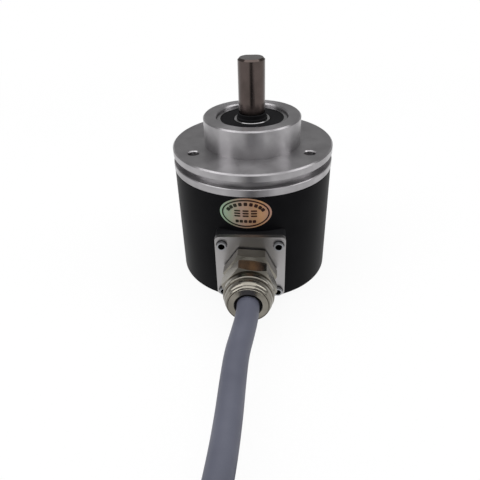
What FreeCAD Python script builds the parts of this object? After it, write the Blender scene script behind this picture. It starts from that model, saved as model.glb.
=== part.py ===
import FreeCAD, Part
import math
import os
import Sketcher

# Solid-shaft rotary encoder with a clamping flange and a side cable gland.
# Origin: the shaft axis at the flange's mounting face. +Z points out along the shaft, and the cable
# leaves towards -Y. Everything is in millimetres.

V = FreeCAD.Vector
doc = FreeCAD.newDocument("rotary_encoder")
os.makedirs("parts", exist_ok=True)

# ---------------------------------------------------------------- driving dimensions

drivingSizes = [
    ("flangeRadius", 25.0, "clamping flange"),
    ("flangeThick", 7.0, "flange, mounting face to cover"),
    ("bossRadius", 15.0, "pilot boss"),
    ("bossHeight", 8.4, "pilot boss above the mounting face"),
    ("edgeBreak", 0.4, "chamfer on turned edges"),
    ("grooveFront", 2.5, "servo groove, front side below the face"),
    ("grooveBack", 4.6, "servo groove, rear side below the face"),
    ("grooveFloorRadius", 23.0, "servo groove floor"),
    ("grooveBreak", 0.2, "chamfer on the groove's edges"),
    ("spigotRadius", 23.2, "spigot that the cover slides on"),
    ("spigotEnd", 11.0, "spigot's end below the face"),
    ("oRingGrooveRadius", 22.0, "cover seal groove floor"),
    ("oRingGrooveMid", 9.0, "cover seal groove centre below the face"),
    ("oRingGrooveHalf", 0.8, "half the seal groove's width"),
    ("oRingSection", 0.62, "cover seal, section radius"),
    ("tubeRadius", 13.5, "bearing tube outside"),
    ("tubeEnd", 16.2, "bearing tube's end below the face"),
    ("mountPitchRadius", 20.0, "mounting holes, pitch circle radius"),
    ("mountTapDiameter", 3.3, "tapping hole of the mounting threads"),
    ("mountHoleDepth", 6.5, "mounting holes, depth"),
    ("mountMouth", 3.9, "mounting holes, countersink diameter"),
    ("bearingBoreRadius", 4.0, "ball bearing bore"),
    ("bearingOuterRadius", 11.0, "ball bearing outside"),
    ("bearingWidth", 7.0, "ball bearing width"),
    ("frontBearingLow", 0.4, "front bearing's rear face"),
    ("rearBearingLow", -13.6, "rear bearing's rear face"),
    ("bearingShoulder", 9.5, "shoulder radius between the bearings"),
    ("ballPitchRadius", 7.5, "ball pitch circle"),
    ("ballRadius", 1.9, "ball, with running clearance to the raceways"),
    ("racewayRadius", 2.08, "raceway section"),
    ("ringChamfer", 0.3, "bearing ring corner"),
    ("outerLand", 9.4, "outer ring's inner land"),
    ("innerLand", 6.05, "inner ring's outer land"),
    ("innerStep", 5.5, "inner ring's step that the seal lip runs over"),
    ("stepDepth", 0.9, "depth of that step"),
    ("stepChamfer", 0.15, "inner ring's outside corners"),
    ("sealGrooveRadius", 9.75, "seal groove in the outer ring"),
    ("sealGrooveDepth", 0.75, "seal groove depth from the ring face"),
    ("sealInset", 0.2, "seal face below the ring face"),
    ("sealThick", 0.5, "seal thickness"),
    ("sealLip", 5.65, "seal lip radius"),
    ("sealOuter", 9.7, "seal outside radius"),
    ("cageInner", 6.6, "cage inside radius"),
    ("cageOuter", 8.5, "cage outside radius"),
    ("cageLow", 1.15, "cage's low face above the bearing's rear face"),
    ("cageHigh", 4.3, "cage's high face above the bearing's rear face"),
    ("pocketRadius", 2.02, "cage pocket"),
    ("spacerRadius", 5.4, "spacer between the inner rings"),
    ("circlipThick", 1.0, "bore circlip"),
    ("circlipTop", 14.2, "bore circlip's front face below the mounting face"),
    ("circlipGroove", 11.5, "bore circlip groove floor"),
    ("circlipInner", 9.4, "bore circlip inside radius"),
    ("washerInner", 9.6, "preload washer inside radius"),
    ("washerOuter", 10.9, "preload washer outside radius"),
    ("shaftRadius", 3.995, "shaft, 8 mm with an h6 fit"),
    ("shaftTip", 25.0, "shaft tip above the mounting face"),
    ("shaftEnd", 29.0, "shaft's inner end below the mounting face"),
    ("shaftChamfer", 0.55, "shaft tip chamfer"),
    ("reliefRadius", 3.8, "relief at the end of the shaft's ground length"),
    ("reliefLong", 0.7, "relief's length"),
    ("reliefTop", 9.4, "relief's top above the mounting face, where the flat ends too"),
    ("flatDistance", 3.0, "flat's distance from the shaft axis"),
    ("clipThick", 0.8, "shaft circlip"),
    ("clipGroove", 3.8, "shaft circlip groove floor"),
    ("clipRadius", 5.9, "shaft circlip outside"),
    ("collarRadius", 4.35, "dust collar sleeve"),
    ("collarFoot", 4.7, "dust collar foot"),
    ("collarTop", 9.2, "dust collar top above the mounting face"),
    ("coverRadius", 24.9, "rear cover outside"),
    ("coverInner", 23.3, "rear cover inside"),
    ("coverEnd", 44.1, "rear cover's end below the mounting face"),
    ("coverFloor", 3.5, "rear cover's end wall"),
    ("coverEdge", 0.5, "chamfer round the cover's end"),
    ("screwHeadRadius", 2.25, "cover screw head"),
    ("screwHeadHeight", 1.7, "cover screw head"),
    ("screwPocketRadius", 2.6, "cover screw counterbore"),
    ("screwPocketDepth", 2.3, "cover screw counterbore"),
    ("screwRadius", 1.25, "cover screws and standoff studs"),
    ("screwLength", 6.0, "cover screw under its head"),
    ("screwHole", 1.4, "clearance hole for those screws"),
    ("screwDrive", 0.9, "hexagon socket corner radius"),
    ("standoffPitch", 19.8, "standoffs, pitch circle radius"),
    ("standoffRadius", 2.5, "standoffs"),
    ("studUp", 3.3, "standoff stud in the flange"),
    ("studDown", 4.0, "standoff stud through the board"),
    ("boardTop", 23.5, "circuit board front below the mounting face"),
    ("boardThick", 1.6, "circuit board"),
    ("boardRadius", 22.6, "circuit board"),
    ("boardHole", 7.6, "hub hole in the board"),
    ("boardFlat", 15.2, "board's flat beside the cable gland"),
    ("hubRadius", 6.5, "disc hub neck"),
    ("hubFlange", 9.0, "disc hub flange"),
    ("hubFlangeThick", 1.0, "disc hub flange"),
    ("hubPilot", 5.0, "disc centring pilot"),
    ("hubScrewDepth", 27.4, "hub screws below the mounting face"),
    ("hubScrewRadius", 1.2, "hub screws"),
    ("discTop", 20.0, "code disc front below the mounting face"),
    ("discThick", 0.3, "code disc"),
    ("discRadius", 16.8, "code disc"),
    ("slotInner", 13.4, "code disc windows"),
    ("slotOuter", 15.9, "code disc windows"),
    ("slotWide", 0.5, "code disc windows"),
    ("clampRadius", 8.5, "disc clamp ring"),
    ("clampThick", 0.8, "disc clamp ring"),
    ("sensorRadius", 14.65, "light path's distance from the shaft"),
    ("bracketTop", 16.6, "lamp bracket top below the mounting face"),
    ("bracketUnder", 19.2, "lamp bracket's arm underside"),
    ("bracketInner", 11.5, "lamp bracket's arm end"),
    ("bracketLeg", 17.4, "lamp bracket's leg"),
    ("bracketOuter", 21.8, "lamp bracket's leg"),
    ("bracketWide", 8.0, "lamp bracket"),
    ("lampRadius", 1.45, "lamp"),
    ("lampHeight", 2.2, "lamp"),
    ("chipLong", 4.9, "light sensor"),
    ("chipHeight", 1.6, "light sensor"),
    ("reticleLong", 3.9, "reticle"),
    ("reticleHeight", 0.7, "reticle"),
    ("plateFront", 28.0, "gland plate front face from the axis"),
    ("plateThick", 1.5, "gland plate"),
    ("plateWide", 20.7, "gland plate"),
    ("plateHigh", 21.3, "gland plate"),
    ("plateCorner", 1.3, "gland plate corner radius"),
    ("plateMid", -28.85, "gland plate centre height"),
    ("plateScrewSide", 8.3, "plate screws, distance from the centre plane"),
    ("plateScrewRise", 8.4, "plate screws, distance from their centre height"),
    ("plateScrewMid", -29.3, "plate screws, centre height"),
    ("plateScrewRadius", 0.8, "plate screw thread"),
    ("plateScrewHead", 1.45, "plate screw head radius"),
    ("plateHeadTall", 2.0, "plate screw head"),
    ("plateHeadProud", 1.1, "plate screw head in front of the plate"),
    ("plateScrewLong", 6.0, "plate screw under its head"),
    ("plateSocket", 0.95, "plate screw hexagon corner radius"),
    ("plateSocketDeep", 1.0, "plate screw hexagon"),
    ("plateBore", 1.65, "plate screw counterbore"),
    ("plateBoreDeep", 0.9, "plate screw counterbore"),
    ("glandMid", -29.0, "cable gland axis height"),
    ("glandThread", 6.0, "gland mounting thread"),
    ("glandHole", 6.2, "hole for that thread"),
    ("washerThick", 0.6, "gland sealing washer"),
    ("washerWide", 6.7, "gland sealing washer"),
    ("hexFlats", 13.8, "gland body across flats"),
    ("hexLong", 3.75, "gland body hexagon"),
    ("hexTilt", 4.0, "gland body's turn, clockwise seen from outside, degrees"),
    ("shoulderLong", 0.55, "cone in front of the gland body's hexagon"),
    ("shoulderEnd", 6.1, "that cone's smaller radius"),
    ("neckRadius", 5.3, "gland neck"),
    ("neckEnd", 41.2, "gland neck's end from the axis"),
    ("glandBore", 3.6, "gland bore"),
    ("insertBore", 4.8, "gland bore for the insert"),
    ("insertFrom", 35.0, "insert seat from the axis"),
    ("glandInnerEnd", 17.8, "gland thread's inner end from the axis"),
    ("lockNutFlats", 15.0, "lock nut across flats"),
    ("lockNutFrom", 21.2, "lock nut's outer face from the axis"),
    ("lockNutThick", 3.0, "lock nut"),
    ("clawInner", 4.25, "clamping claw inside"),
    ("clawEnd", 41.6, "clamping claw's end from the axis"),
    ("sealBore", 3.12, "cable seal bore"),
    ("sealNose", 3.5, "cable seal nose"),
    ("sealNoseEnd", 44.7, "cable seal nose's end from the axis"),
    ("capBack", 33.8, "cap nut's rear edge from the axis"),
    ("capFlats", 13.8, "cap nut across flats"),
    ("capTilt", 8.0, "cap nut's turn, clockwise seen from outside, degrees"),
    ("capHexEnd", 38.5, "cap nut hexagon's front edge from the axis"),
    ("nutChamfer", 0.65, "cap nut hexagon's chamfers, along the axis"),
    ("capGroove", 5.95, "cap nut's groove in front of its hexagon"),
    ("capGrooveEnd", 39.6, "cap nut's groove end"),
    ("capRadius", 7.15, "cap nut's bead"),
    ("capBeadEnd", 41.3, "bead's front corner, from the axis"),
    ("capBeadRound", 0.42, "bead's front corner, section"),
    ("capNeck", 6.65, "cap nut between its bead and its nose"),
    ("capNoseFrom", 42.9, "cap nut's round nose start, from the axis"),
    ("capNoseRound", 1.57, "cap nut's round nose, section"),
    ("capNoseEnd", 44.0, "cap nut's round nose end"),
    ("capRim", 6.2, "cap nut's rim in front of the nose"),
    ("capRimRound", 0.9, "that rim's section"),
    ("capRimEnd", 44.85, "that rim's end"),
    ("capFace", 5.85, "cap nut's face"),
    ("capFront", 45.15, "cap nut's front edge"),
    ("capHole", 3.7, "cable hole in the cap nut"),
    ("cableRadius", 3.1, "cable"),
    ("cableInnerEnd", 16.5, "cable jacket's inner end from the axis"),
    ("cableSplit", 43.5, "where the free cable starts, from the axis"),
    ("coilAcross", 26.5, "coil centre, x"),
    ("coilAlong", -143.0, "coil centre, y"),
    ("coilOuterTurn", 38.5, "coil's outer turns"),
    ("coilInnerTurn", 32.3, "coil's inner turns"),
    ("tieThick", 0.8, "coil tie"),
    ("tieWide", 3.6, "coil tie"),
    ("tieHead", 5.2, "coil tie head"),
    ("tieHeadHigh", 3.4, "coil tie head"),
    ("labelWide", 15.0, "oval label"),
    ("labelHigh", 9.8, "oval label"),
    ("labelMid", -12.1, "oval label centre height"),
    ("labelAside", -1.25, "oval label centre, x"),
    ("labelThick", 0.12, "oval label"),
    ("wireRadius", 0.5, "conductor"),
]

sheet = doc.addObject("Spreadsheet::Sheet", "sizes")
for row, (alias, number, note) in enumerate(drivingSizes, start=1):
    sheet.set("A%d" % row, note)
    sheet.set("B%d" % row, str(number))
    sheet.setAlias("B%d" % row, alias)
doc.recompute()


class Dim:
    """A length that remembers the sheet formula it comes from."""

    def __init__(self, number, formula):
        self.number = float(number)
        self.formula = formula

    def __add__(self, other):
        other = asDim(other)
        return Dim(self.number + other.number, "(%s + %s)" % (self.formula, other.formula))

    def __sub__(self, other):
        other = asDim(other)
        return Dim(self.number - other.number, "(%s - %s)" % (self.formula, other.formula))

    def __mul__(self, factor):
        return Dim(self.number * factor, "(%s * %.9f)" % (self.formula, factor))

    def __neg__(self):
        return Dim(-self.number, "(0 - %s)" % self.formula)


def asDim(value):
    """Takes a Dim, a sheet alias or a plain number."""
    if isinstance(value, Dim):
        return value
    if isinstance(value, str):
        return Dim(sheet.get(value), "sizes." + value)
    return Dim(value, "%.9f" % value)


def dim(alias):
    return asDim(alias)


def number(alias):
    return float(sheet.get(alias))


def bind(thing, path, value):
    """Binds a length of thing to the sheet."""
    thing.setExpression(path, "%s * 1 mm" % asDim(value).formula)


# ---------------------------------------------------------------- ways of making a piece


def newBody(label):
    body = doc.addObject("PartDesign::Body", label)
    body.AllowCompound = True
    return body


def originFeature(body, role):
    return [item for item in body.Origin.OriginFeatures if item.Role == role][0]


def newSketch(body, plane, shift=(0, 0, 0)):
    """A sketch on an origin plane. shift is along its own x, its own y and its normal."""
    sketch = body.newObject("Sketcher::SketchObject", body.Name + "_sketch")
    sketch.AttachmentSupport = [(originFeature(body, plane), "")]
    sketch.MapMode = "FlatFace"
    for axis, value in zip("xyz", shift):
        bind(sketch, "AttachmentOffset.Base." + axis, value)
    return sketch


def bindPoint(sketch, edge, end, point):
    for kind, value in (("DistanceX", point[0]), ("DistanceY", point[1])):
        value = asDim(value)
        index = sketch.addConstraint(Sketcher.Constraint(kind, -1, 1, edge, end, value.number))
        bind(sketch, "Constraints[%d]" % index, value)


def drawOutline(sketch, points):
    """A closed outline. A point is (x, y), or (x, y, radius, side) where an arc leads on from it,
    bulging to the left of the way for side 1 and to the right for side -1."""
    flat = [V(asDim(p[0]).number, asDim(p[1]).number, 0) for p in points]
    first = sketch.GeometryCount
    count = len(points)
    for index, point in enumerate(points):
        start = flat[index]
        stop = flat[(index + 1) % count]
        if len(point) == 2:
            sketch.addGeometry(Part.LineSegment(start, stop), False)
            continue
        radius = asDim(point[2])
        chord = stop - start
        across = V(-chord.y, chord.x, 0)
        across.normalize()
        rise = radius.number - math.sqrt(radius.number ** 2 - chord.Length ** 2 / 4)
        middle = (start + stop) * 0.5 + across * (rise * point[3])
        sketch.addGeometry(Part.Arc(start, middle, stop), False)
    for index, point in enumerate(points):
        edge = first + index
        following = first + (index + 1) % count
        start = flat[index]
        # An arc is stored counterclockwise, so its own first end may be the outline's second.
        ends = []
        for item, target in ((edge, flat[(index + 1) % count]), (following, flat[(index + 1) % count])):
            ends.append(1 if (sketch.getPoint(item, 1) - target).Length < 1e-6 else 2)
        sketch.addConstraint(Sketcher.Constraint("Coincident", edge, ends[0], following, ends[1]))
        own = 1 if (sketch.getPoint(edge, 1) - start).Length < 1e-6 else 2
        bindPoint(sketch, edge, own, point)
        if len(point) == 4:
            radius = asDim(point[2])
            held = sketch.addConstraint(Sketcher.Constraint("Radius", edge, radius.number))
            bind(sketch, "Constraints[%d]" % held, radius)


def drawCircles(sketch, centres, radius):
    radius = asDim(radius)
    for centre in centres:
        place = V(asDim(centre[0]).number, asDim(centre[1]).number, 0)
        edge = sketch.addGeometry(Part.Circle(place, V(0, 0, 1), radius.number), False)
        bindPoint(sketch, edge, 3, centre)
        held = sketch.addConstraint(Sketcher.Constraint("Radius", edge, radius.number))
        bind(sketch, "Constraints[%d]" % held, radius)


def hexagon(corner, turn, centre=(0, 0)):
    """The corners of a hexagon with flats at top and bottom, turned by turn degrees."""
    corners = []
    for step in range(6):
        angle = math.radians(60 * step + turn)
        x = asDim(centre[0]) + asDim(corner) * math.cos(angle)
        y = asDim(centre[1]) + asDim(corner) * math.sin(angle)
        corners.append((x, y))
    return corners


def rectangle(wide, high, centre=(0, 0)):
    x, y = asDim(centre[0]), asDim(centre[1])
    halfWide, halfHigh = asDim(wide) * 0.5, asDim(high) * 0.5
    return [
        (x - halfWide, y - halfHigh),
        (x + halfWide, y - halfHigh),
        (x + halfWide, y + halfHigh),
        (x - halfWide, y + halfHigh),
    ]


def revolve(body, sketch, axis="V_Axis", angle=360.0):
    feature = body.newObject("PartDesign::Revolution", body.Name + "_turned")
    feature.Profile = (sketch, [""])
    feature.ReferenceAxis = (sketch, [axis])
    feature.Angle = angle
    doc.recompute()
    return feature


def pad(body, sketch, length, backwards=False):
    feature = body.newObject("PartDesign::Pad", body.Name + "_pad")
    feature.Profile = sketch
    feature.Reversed = backwards
    bind(feature, "Length", length)
    doc.recompute()
    return feature


def pocket(body, sketch, length, forwards=False):
    """Cuts against the sketch's normal, or along it with forwards."""
    before = body.Shape.Volume
    feature = body.newObject("PartDesign::Pocket", body.Name + "_pocket")
    feature.Profile = sketch
    feature.Reversed = forwards
    bind(feature, "Length", length)
    doc.recompute()
    if body.Shape.Volume >= before:
        raise RuntimeError("a pocket of %s cut nothing" % body.Label)
    return feature


def polar(body, feature, count):
    pattern = body.newObject("PartDesign::PolarPattern", body.Name + "_round")
    pattern.Originals = [feature]
    pattern.Axis = (originFeature(body, "Z_Axis"), [""])
    pattern.Angle = 360
    pattern.Occurrences = count
    body.Tip = pattern
    doc.recompute()
    return pattern


def turned(label, outline, shift=0, plane="XZ_Plane", angle=360.0):
    """A piece turned about an upright axis that stands shift away from the centre. Points are
    (radius, height)."""
    body = newBody(label)
    sketch = newSketch(body, plane, (shift, 0, 0))
    drawOutline(sketch, outline)
    doc.recompute()
    revolve(body, sketch, angle=angle)
    return body


def turnedAcross(label, outline):
    """A piece turned about the gland's axis. Points are (distance from the shaft axis, radius)."""
    body = newBody(label)
    sketch = newSketch(body, "YZ_Plane", (0, "glandMid", 0))
    drawOutline(sketch, [(-asDim(p[0]), p[1]) + tuple(p[2:]) for p in outline])
    doc.recompute()
    revolve(body, sketch, axis="H_Axis")
    return body


def ring(label, inner, outer, low, high, **options):
    outline = [(inner, low), (outer, low), (outer, high), (inner, high)]
    return turned(label, outline, **options)


def cutOutsideHexagon(body, flats, turn, reach=60):
    """Leaves only what lies inside a hexagonal bar along the gland's axis, as far as reach."""
    corner = dim(flats) * (1 / math.sqrt(3))
    sketch = newSketch(body, "XZ_Plane", (0, "glandMid", 0))
    drawCircles(sketch, [(0, 0)], dim(flats) * 0.9)
    drawOutline(sketch, hexagon(corner, turn))
    doc.recompute()
    pocket(body, sketch, reach, forwards=True)


def roundEdges(body, radius, chosen):
    """Rounds the edges of the body's last feature for which chosen(edge) is true."""
    names = ["Edge%d" % (i + 1) for i, edge in enumerate(body.Shape.Edges) if chosen(edge)]
    last = body.Tip
    feature = body.newObject("PartDesign::Fillet", body.Name + "_round")
    feature.Base = (last, names)
    bind(feature, "Radius", radius)
    doc.recompute()
    return feature


def boxPiece(label, corner, sides):
    box = doc.addObject("Part::Box", label)
    for name, side in zip(("Length", "Width", "Height"), sides):
        bind(box, name, side)
    for axis, value in zip("xyz", corner):
        bind(box, "Placement.Base." + axis, value)
    return box


def shapePiece(label, shape):
    piece = doc.addObject("Part::Feature", label)
    piece.Shape = shape
    return piece


def placeAtCoil(piece):
    bind(piece, "Placement.Base.x", "coilAcross")
    bind(piece, "Placement.Base.y", "coilAlong")


# ---------------------------------------------------------------- flange, boss and bearing tube


def makeFrontFlange():
    """The turned aluminium flange: pilot boss, servo groove, cover spigot and bearing tube."""
    top = dim("bossHeight")
    chamfer = dim("edgeBreak")
    bore = dim("bearingOuterRadius")
    groove = dim("grooveBreak")
    sealHigh = -(dim("oRingGrooveMid") - "oRingGrooveHalf")
    sealLow = -(dim("oRingGrooveMid") + "oRingGrooveHalf")
    clipHigh = -dim("circlipTop")
    clipLow = clipHigh - "circlipThick"
    outline = [
        (bore + chamfer, top),
        (dim("bossRadius") - chamfer, top),
        ("bossRadius", top - chamfer),
        ("bossRadius", 0),
        (dim("flangeRadius") - chamfer, 0),
        ("flangeRadius", -chamfer),
        ("flangeRadius", -dim("grooveFront") + groove),
        (dim("flangeRadius") - groove, -dim("grooveFront")),
        ("grooveFloorRadius", -dim("grooveFront")),
        ("grooveFloorRadius", -dim("grooveBack")),
        (dim("flangeRadius") - groove, -dim("grooveBack")),
        ("flangeRadius", -dim("grooveBack") - groove),
        ("flangeRadius", -dim("flangeThick") + groove),
        (dim("flangeRadius") - groove, -dim("flangeThick")),
        ("spigotRadius", -dim("flangeThick")),
        ("spigotRadius", sealHigh),
        ("oRingGrooveRadius", sealHigh),
        ("oRingGrooveRadius", sealLow),
        ("spigotRadius", sealLow),
        ("spigotRadius", -dim("spigotEnd")),
        ("tubeRadius", -dim("spigotEnd")),
        ("tubeRadius", -dim("tubeEnd")),
        (bore, -dim("tubeEnd")),
        (bore, clipLow),
        ("circlipGroove", clipLow),
        ("circlipGroove", clipHigh),
        (bore, clipHigh),
        (bore, dim("rearBearingLow") + "bearingWidth"),
        ("bearingShoulder", dim("rearBearingLow") + "bearingWidth"),
        ("bearingShoulder", "frontBearingLow"),
        (bore, "frontBearingLow"),
        (bore, top - chamfer),
    ]
    body = turned("front_flange", outline)
    holeSketch = newSketch(body, "XY_Plane")
    drawCircles(holeSketch, [(0, "mountPitchRadius")], dim("mountTapDiameter") * 0.5)
    doc.recompute()
    hole = body.newObject("PartDesign::Hole", "mounting_hole")
    hole.Profile = holeSketch
    hole.Threaded = False
    bind(hole, "Diameter", "mountTapDiameter")
    hole.DepthType = "Dimension"
    bind(hole, "Depth", "mountHoleDepth")
    hole.HoleCutType = "Countersink"
    hole.HoleCutCountersinkAngle = 90
    bind(hole, "HoleCutDiameter", "mountMouth")
    doc.recompute()
    polar(body, hole, 3)
    studSketch = newSketch(body, "XY_Plane", (0, 0, -dim("spigotEnd")))
    drawCircles(studSketch, [(0, "standoffPitch")], dim("screwRadius") + 0.02)
    doc.recompute()
    stud = pocket(body, studSketch, "studUp", forwards=True)
    polar(body, stud, 3)
    return body


# ---------------------------------------------------------------- ball bearings


def makeBearing(prefix, low):
    """One sealed deep-groove ball bearing, its rear face at low."""
    low = dim(low)
    high = low + "bearingWidth"
    middle = low + dim("bearingWidth") * 0.5
    chamfer = dim("ringChamfer")

    def withRaceway(label, outline):
        blank = turned(label + "_blank", outline)
        race = doc.addObject("Part::Torus", label + "_race")
        bind(race, "Radius1", "ballPitchRadius")
        bind(race, "Radius2", "racewayRadius")
        bind(race, "Placement.Base.z", middle)
        piece = doc.addObject("Part::Cut", label)
        piece.Base = blank
        piece.Tool = race
        return piece

    grooveLow = low + "sealGrooveDepth"
    grooveHigh = high - "sealGrooveDepth"
    outer = dim("bearingOuterRadius")
    outerRing = withRaceway(prefix + "_bearing_outer_ring", [
        ("sealGrooveRadius", low), (outer - chamfer, low), (outer, low + chamfer),
        (outer, high - chamfer), (outer - chamfer, high), ("sealGrooveRadius", high),
        ("sealGrooveRadius", grooveHigh), ("outerLand", grooveHigh),
        ("outerLand", grooveLow), ("sealGrooveRadius", grooveLow),
    ])
    bore = dim("bearingBoreRadius")
    corner = dim("innerStep") - "stepChamfer"
    innerRing = withRaceway(prefix + "_bearing_inner_ring", [
        (bore + chamfer, low), (corner, low), ("innerStep", low + "stepChamfer"),
        ("innerStep", low + "stepDepth"), ("innerLand", low + "stepDepth"),
        ("innerLand", high - "stepDepth"), ("innerStep", high - "stepDepth"),
        ("innerStep", high - "stepChamfer"), (corner, high), (bore + chamfer, high),
        (bore, high - chamfer), (bore, low + chamfer),
    ])

    seals = newBody(prefix + "_bearing_seals")
    sealLow = low + "sealInset"
    sealHigh = high - "sealInset" - "sealThick"
    for start in (sealLow, sealHigh):
        sketch = newSketch(seals, "XZ_Plane")
        stop = start + "sealThick"
        drawOutline(sketch, [
            ("sealLip", start), ("sealOuter", start), ("sealOuter", stop), ("sealLip", stop),
        ])
        doc.recompute()
        revolve(seals, sketch)

    balls = newBody(prefix + "_bearing_balls")
    ball = balls.newObject("PartDesign::AdditiveSphere", prefix + "_ball")
    bind(ball, "Radius", "ballRadius")
    bind(ball, "AttachmentOffset.Base.x", "ballPitchRadius")
    bind(ball, "AttachmentOffset.Base.z", middle)
    ball.AttachmentSupport = [(originFeature(balls, "XY_Plane"), "")]
    ball.MapMode = "FlatFace"
    doc.recompute()
    polar(balls, ball, 7)

    cage = ring(prefix + "_bearing_cage", "cageInner", "cageOuter", low + "cageLow", low + "cageHigh")
    pocketBall = cage.newObject("PartDesign::SubtractiveSphere", prefix + "_pocket")
    bind(pocketBall, "Radius", "pocketRadius")
    bind(pocketBall, "AttachmentOffset.Base.x", "ballPitchRadius")
    bind(pocketBall, "AttachmentOffset.Base.z", middle)
    pocketBall.AttachmentSupport = [(originFeature(cage, "XY_Plane"), "")]
    pocketBall.MapMode = "FlatFace"
    doc.recompute()
    polar(cage, pocketBall, 7)
    return [outerRing, innerRing, seals, balls, cage]


def makeBearingFittings():
    """What spaces, loads and keeps the two bearings."""
    bore = dim("bearingBoreRadius")
    rearTop = dim("rearBearingLow") + "bearingWidth"
    spacer = ring("bearing_spacer", bore, "spacerRadius", rearTop, "frontBearingLow")
    washer = ring("bearing_wave_washer", "washerInner", "washerOuter", -dim("circlipTop"), "rearBearingLow")
    clipLow = -dim("circlipTop") - "circlipThick"
    clip = ring("bearing_circlip", "circlipInner", "circlipGroove", clipLow, -dim("circlipTop"), angle=322.0)
    return [spacer, washer, clip]


# ---------------------------------------------------------------- shaft and what turns with it


def makeShaft():
    """The steel shaft: its ground end with the flat that a coupling's screw bears on, the relief
    that both end in, and the rear circlip's groove."""
    clipHigh = dim("rearBearingLow")
    clipLow = clipHigh - "clipThick"
    tip = dim("shaftTip")
    chamfer = dim("shaftChamfer")
    radius = dim("shaftRadius")
    body = turned("shaft", [
        (0, -dim("shaftEnd")),
        (radius - "edgeBreak", -dim("shaftEnd")),
        (radius, -dim("shaftEnd") + "edgeBreak"),
        (radius, clipLow),
        ("clipGroove", clipLow),
        ("clipGroove", clipHigh),
        (radius, clipHigh),
        (radius, dim("reliefTop") - "reliefLong"),
        ("reliefRadius", dim("reliefTop") - "reliefLong"),
        ("reliefRadius", "reliefTop"),
        (radius, "reliefTop"),
        (radius, tip - chamfer),
        (radius - chamfer, tip),
        (0, tip),
    ])
    sketch = newSketch(body, "XY_Plane", (0, 0, tip))
    reach = dim("shaftRadius") * 2
    drawOutline(sketch, rectangle(reach * 2, reach, (0, dim("flatDistance") + reach * 0.5)))
    doc.recompute()
    pocket(body, sketch, tip - "reliefTop")
    return body


def makeShaftFittings():
    bore = dim("bearingBoreRadius")
    foot = dim("frontBearingLow") + "bearingWidth"
    collar = turned("dust_collar", [
        (bore, foot),
        ("collarFoot", foot),
        ("collarFoot", foot + 0.4),
        ("collarRadius", foot + 0.6),
        ("collarRadius", dim("collarTop") - 0.2),
        (dim("collarRadius") - 0.2, "collarTop"),
        (bore, "collarTop"),
    ])
    clipLow = dim("rearBearingLow") - "clipThick"
    clipInner = dim("clipGroove") + 0.02
    clip = ring("shaft_circlip", clipInner, "clipRadius", clipLow, "rearBearingLow", angle=300.0)
    return [collar, clip]


def makeDiscAssembly():
    """The hub that is screwed to the shaft, and the windowed disc clamped on it."""
    bore = dim("bearingBoreRadius")
    discTop = -dim("discTop")
    seat = discTop - "discThick"
    pilotTop = discTop + "clampThick"
    hub = turned("disc_hub", [
        (bore, -dim("shaftEnd")),
        ("hubRadius", -dim("shaftEnd")),
        ("hubRadius", seat - "hubFlangeThick"),
        ("hubFlange", seat - "hubFlangeThick"),
        ("hubFlange", seat),
        ("hubPilot", seat),
        ("hubPilot", pilotTop),
        (bore, pilotTop),
    ])
    for plane, forwards in (("XZ_Plane", False), ("YZ_Plane", True)):
        sketch = newSketch(hub, plane)
        drawCircles(sketch, [(0, -dim("hubScrewDepth"))], "hubScrewRadius")
        doc.recompute()
        pocket(hub, sketch, dim("hubRadius") * 1.2, forwards=forwards)

    screws = newBody("hub_set_screws")
    start = dim("bearingBoreRadius") + 0.05
    length = dim("hubRadius") - start - 0.2
    for plane, backwards, shift in (("XZ_Plane", True, -start), ("YZ_Plane", False, start)):
        sketch = newSketch(screws, plane, (0, 0, shift))
        drawCircles(sketch, [(0, -dim("hubScrewDepth"))], dim("hubScrewRadius") - 0.02)
        doc.recompute()
        pad(screws, sketch, length, backwards=backwards)

    disc = ring("code_disc", dim("hubPilot") + 0.05, "discRadius", seat, discTop)
    sketch = newSketch(disc, "XY_Plane", (0, 0, discTop))
    middle = (dim("slotInner") + "slotOuter") * 0.5
    drawOutline(sketch, rectangle(dim("slotOuter") - "slotInner", "slotWide", (middle, 0)))
    doc.recompute()
    window = pocket(disc, sketch, dim("discThick") * 2)
    polar(disc, window, 60)

    clamp = ring("disc_clamp_ring", dim("hubPilot") + 0.05, "clampRadius", discTop, pilotTop)
    return [hub, screws, disc, clamp]


# ---------------------------------------------------------------- electronics


def makeBoard():
    low = -dim("boardTop") - "boardThick"
    body = ring("main_board", "boardHole", "boardRadius", low, -dim("boardTop"))
    flat = newSketch(body, "XY_Plane", (0, 0, -dim("boardTop")))
    reach = dim("boardRadius")
    drawOutline(flat, rectangle(reach * 3, reach, (0, -dim("boardFlat") - reach * 0.5)))
    doc.recompute()
    pocket(body, flat, dim("boardThick") * 2)
    holes = newSketch(body, "XY_Plane", (0, 0, -dim("boardTop")))
    drawCircles(holes, [(0, "standoffPitch")], "screwHole")
    doc.recompute()
    polar(body, pocket(body, holes, dim("boardThick") * 2), 3)
    return body


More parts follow.
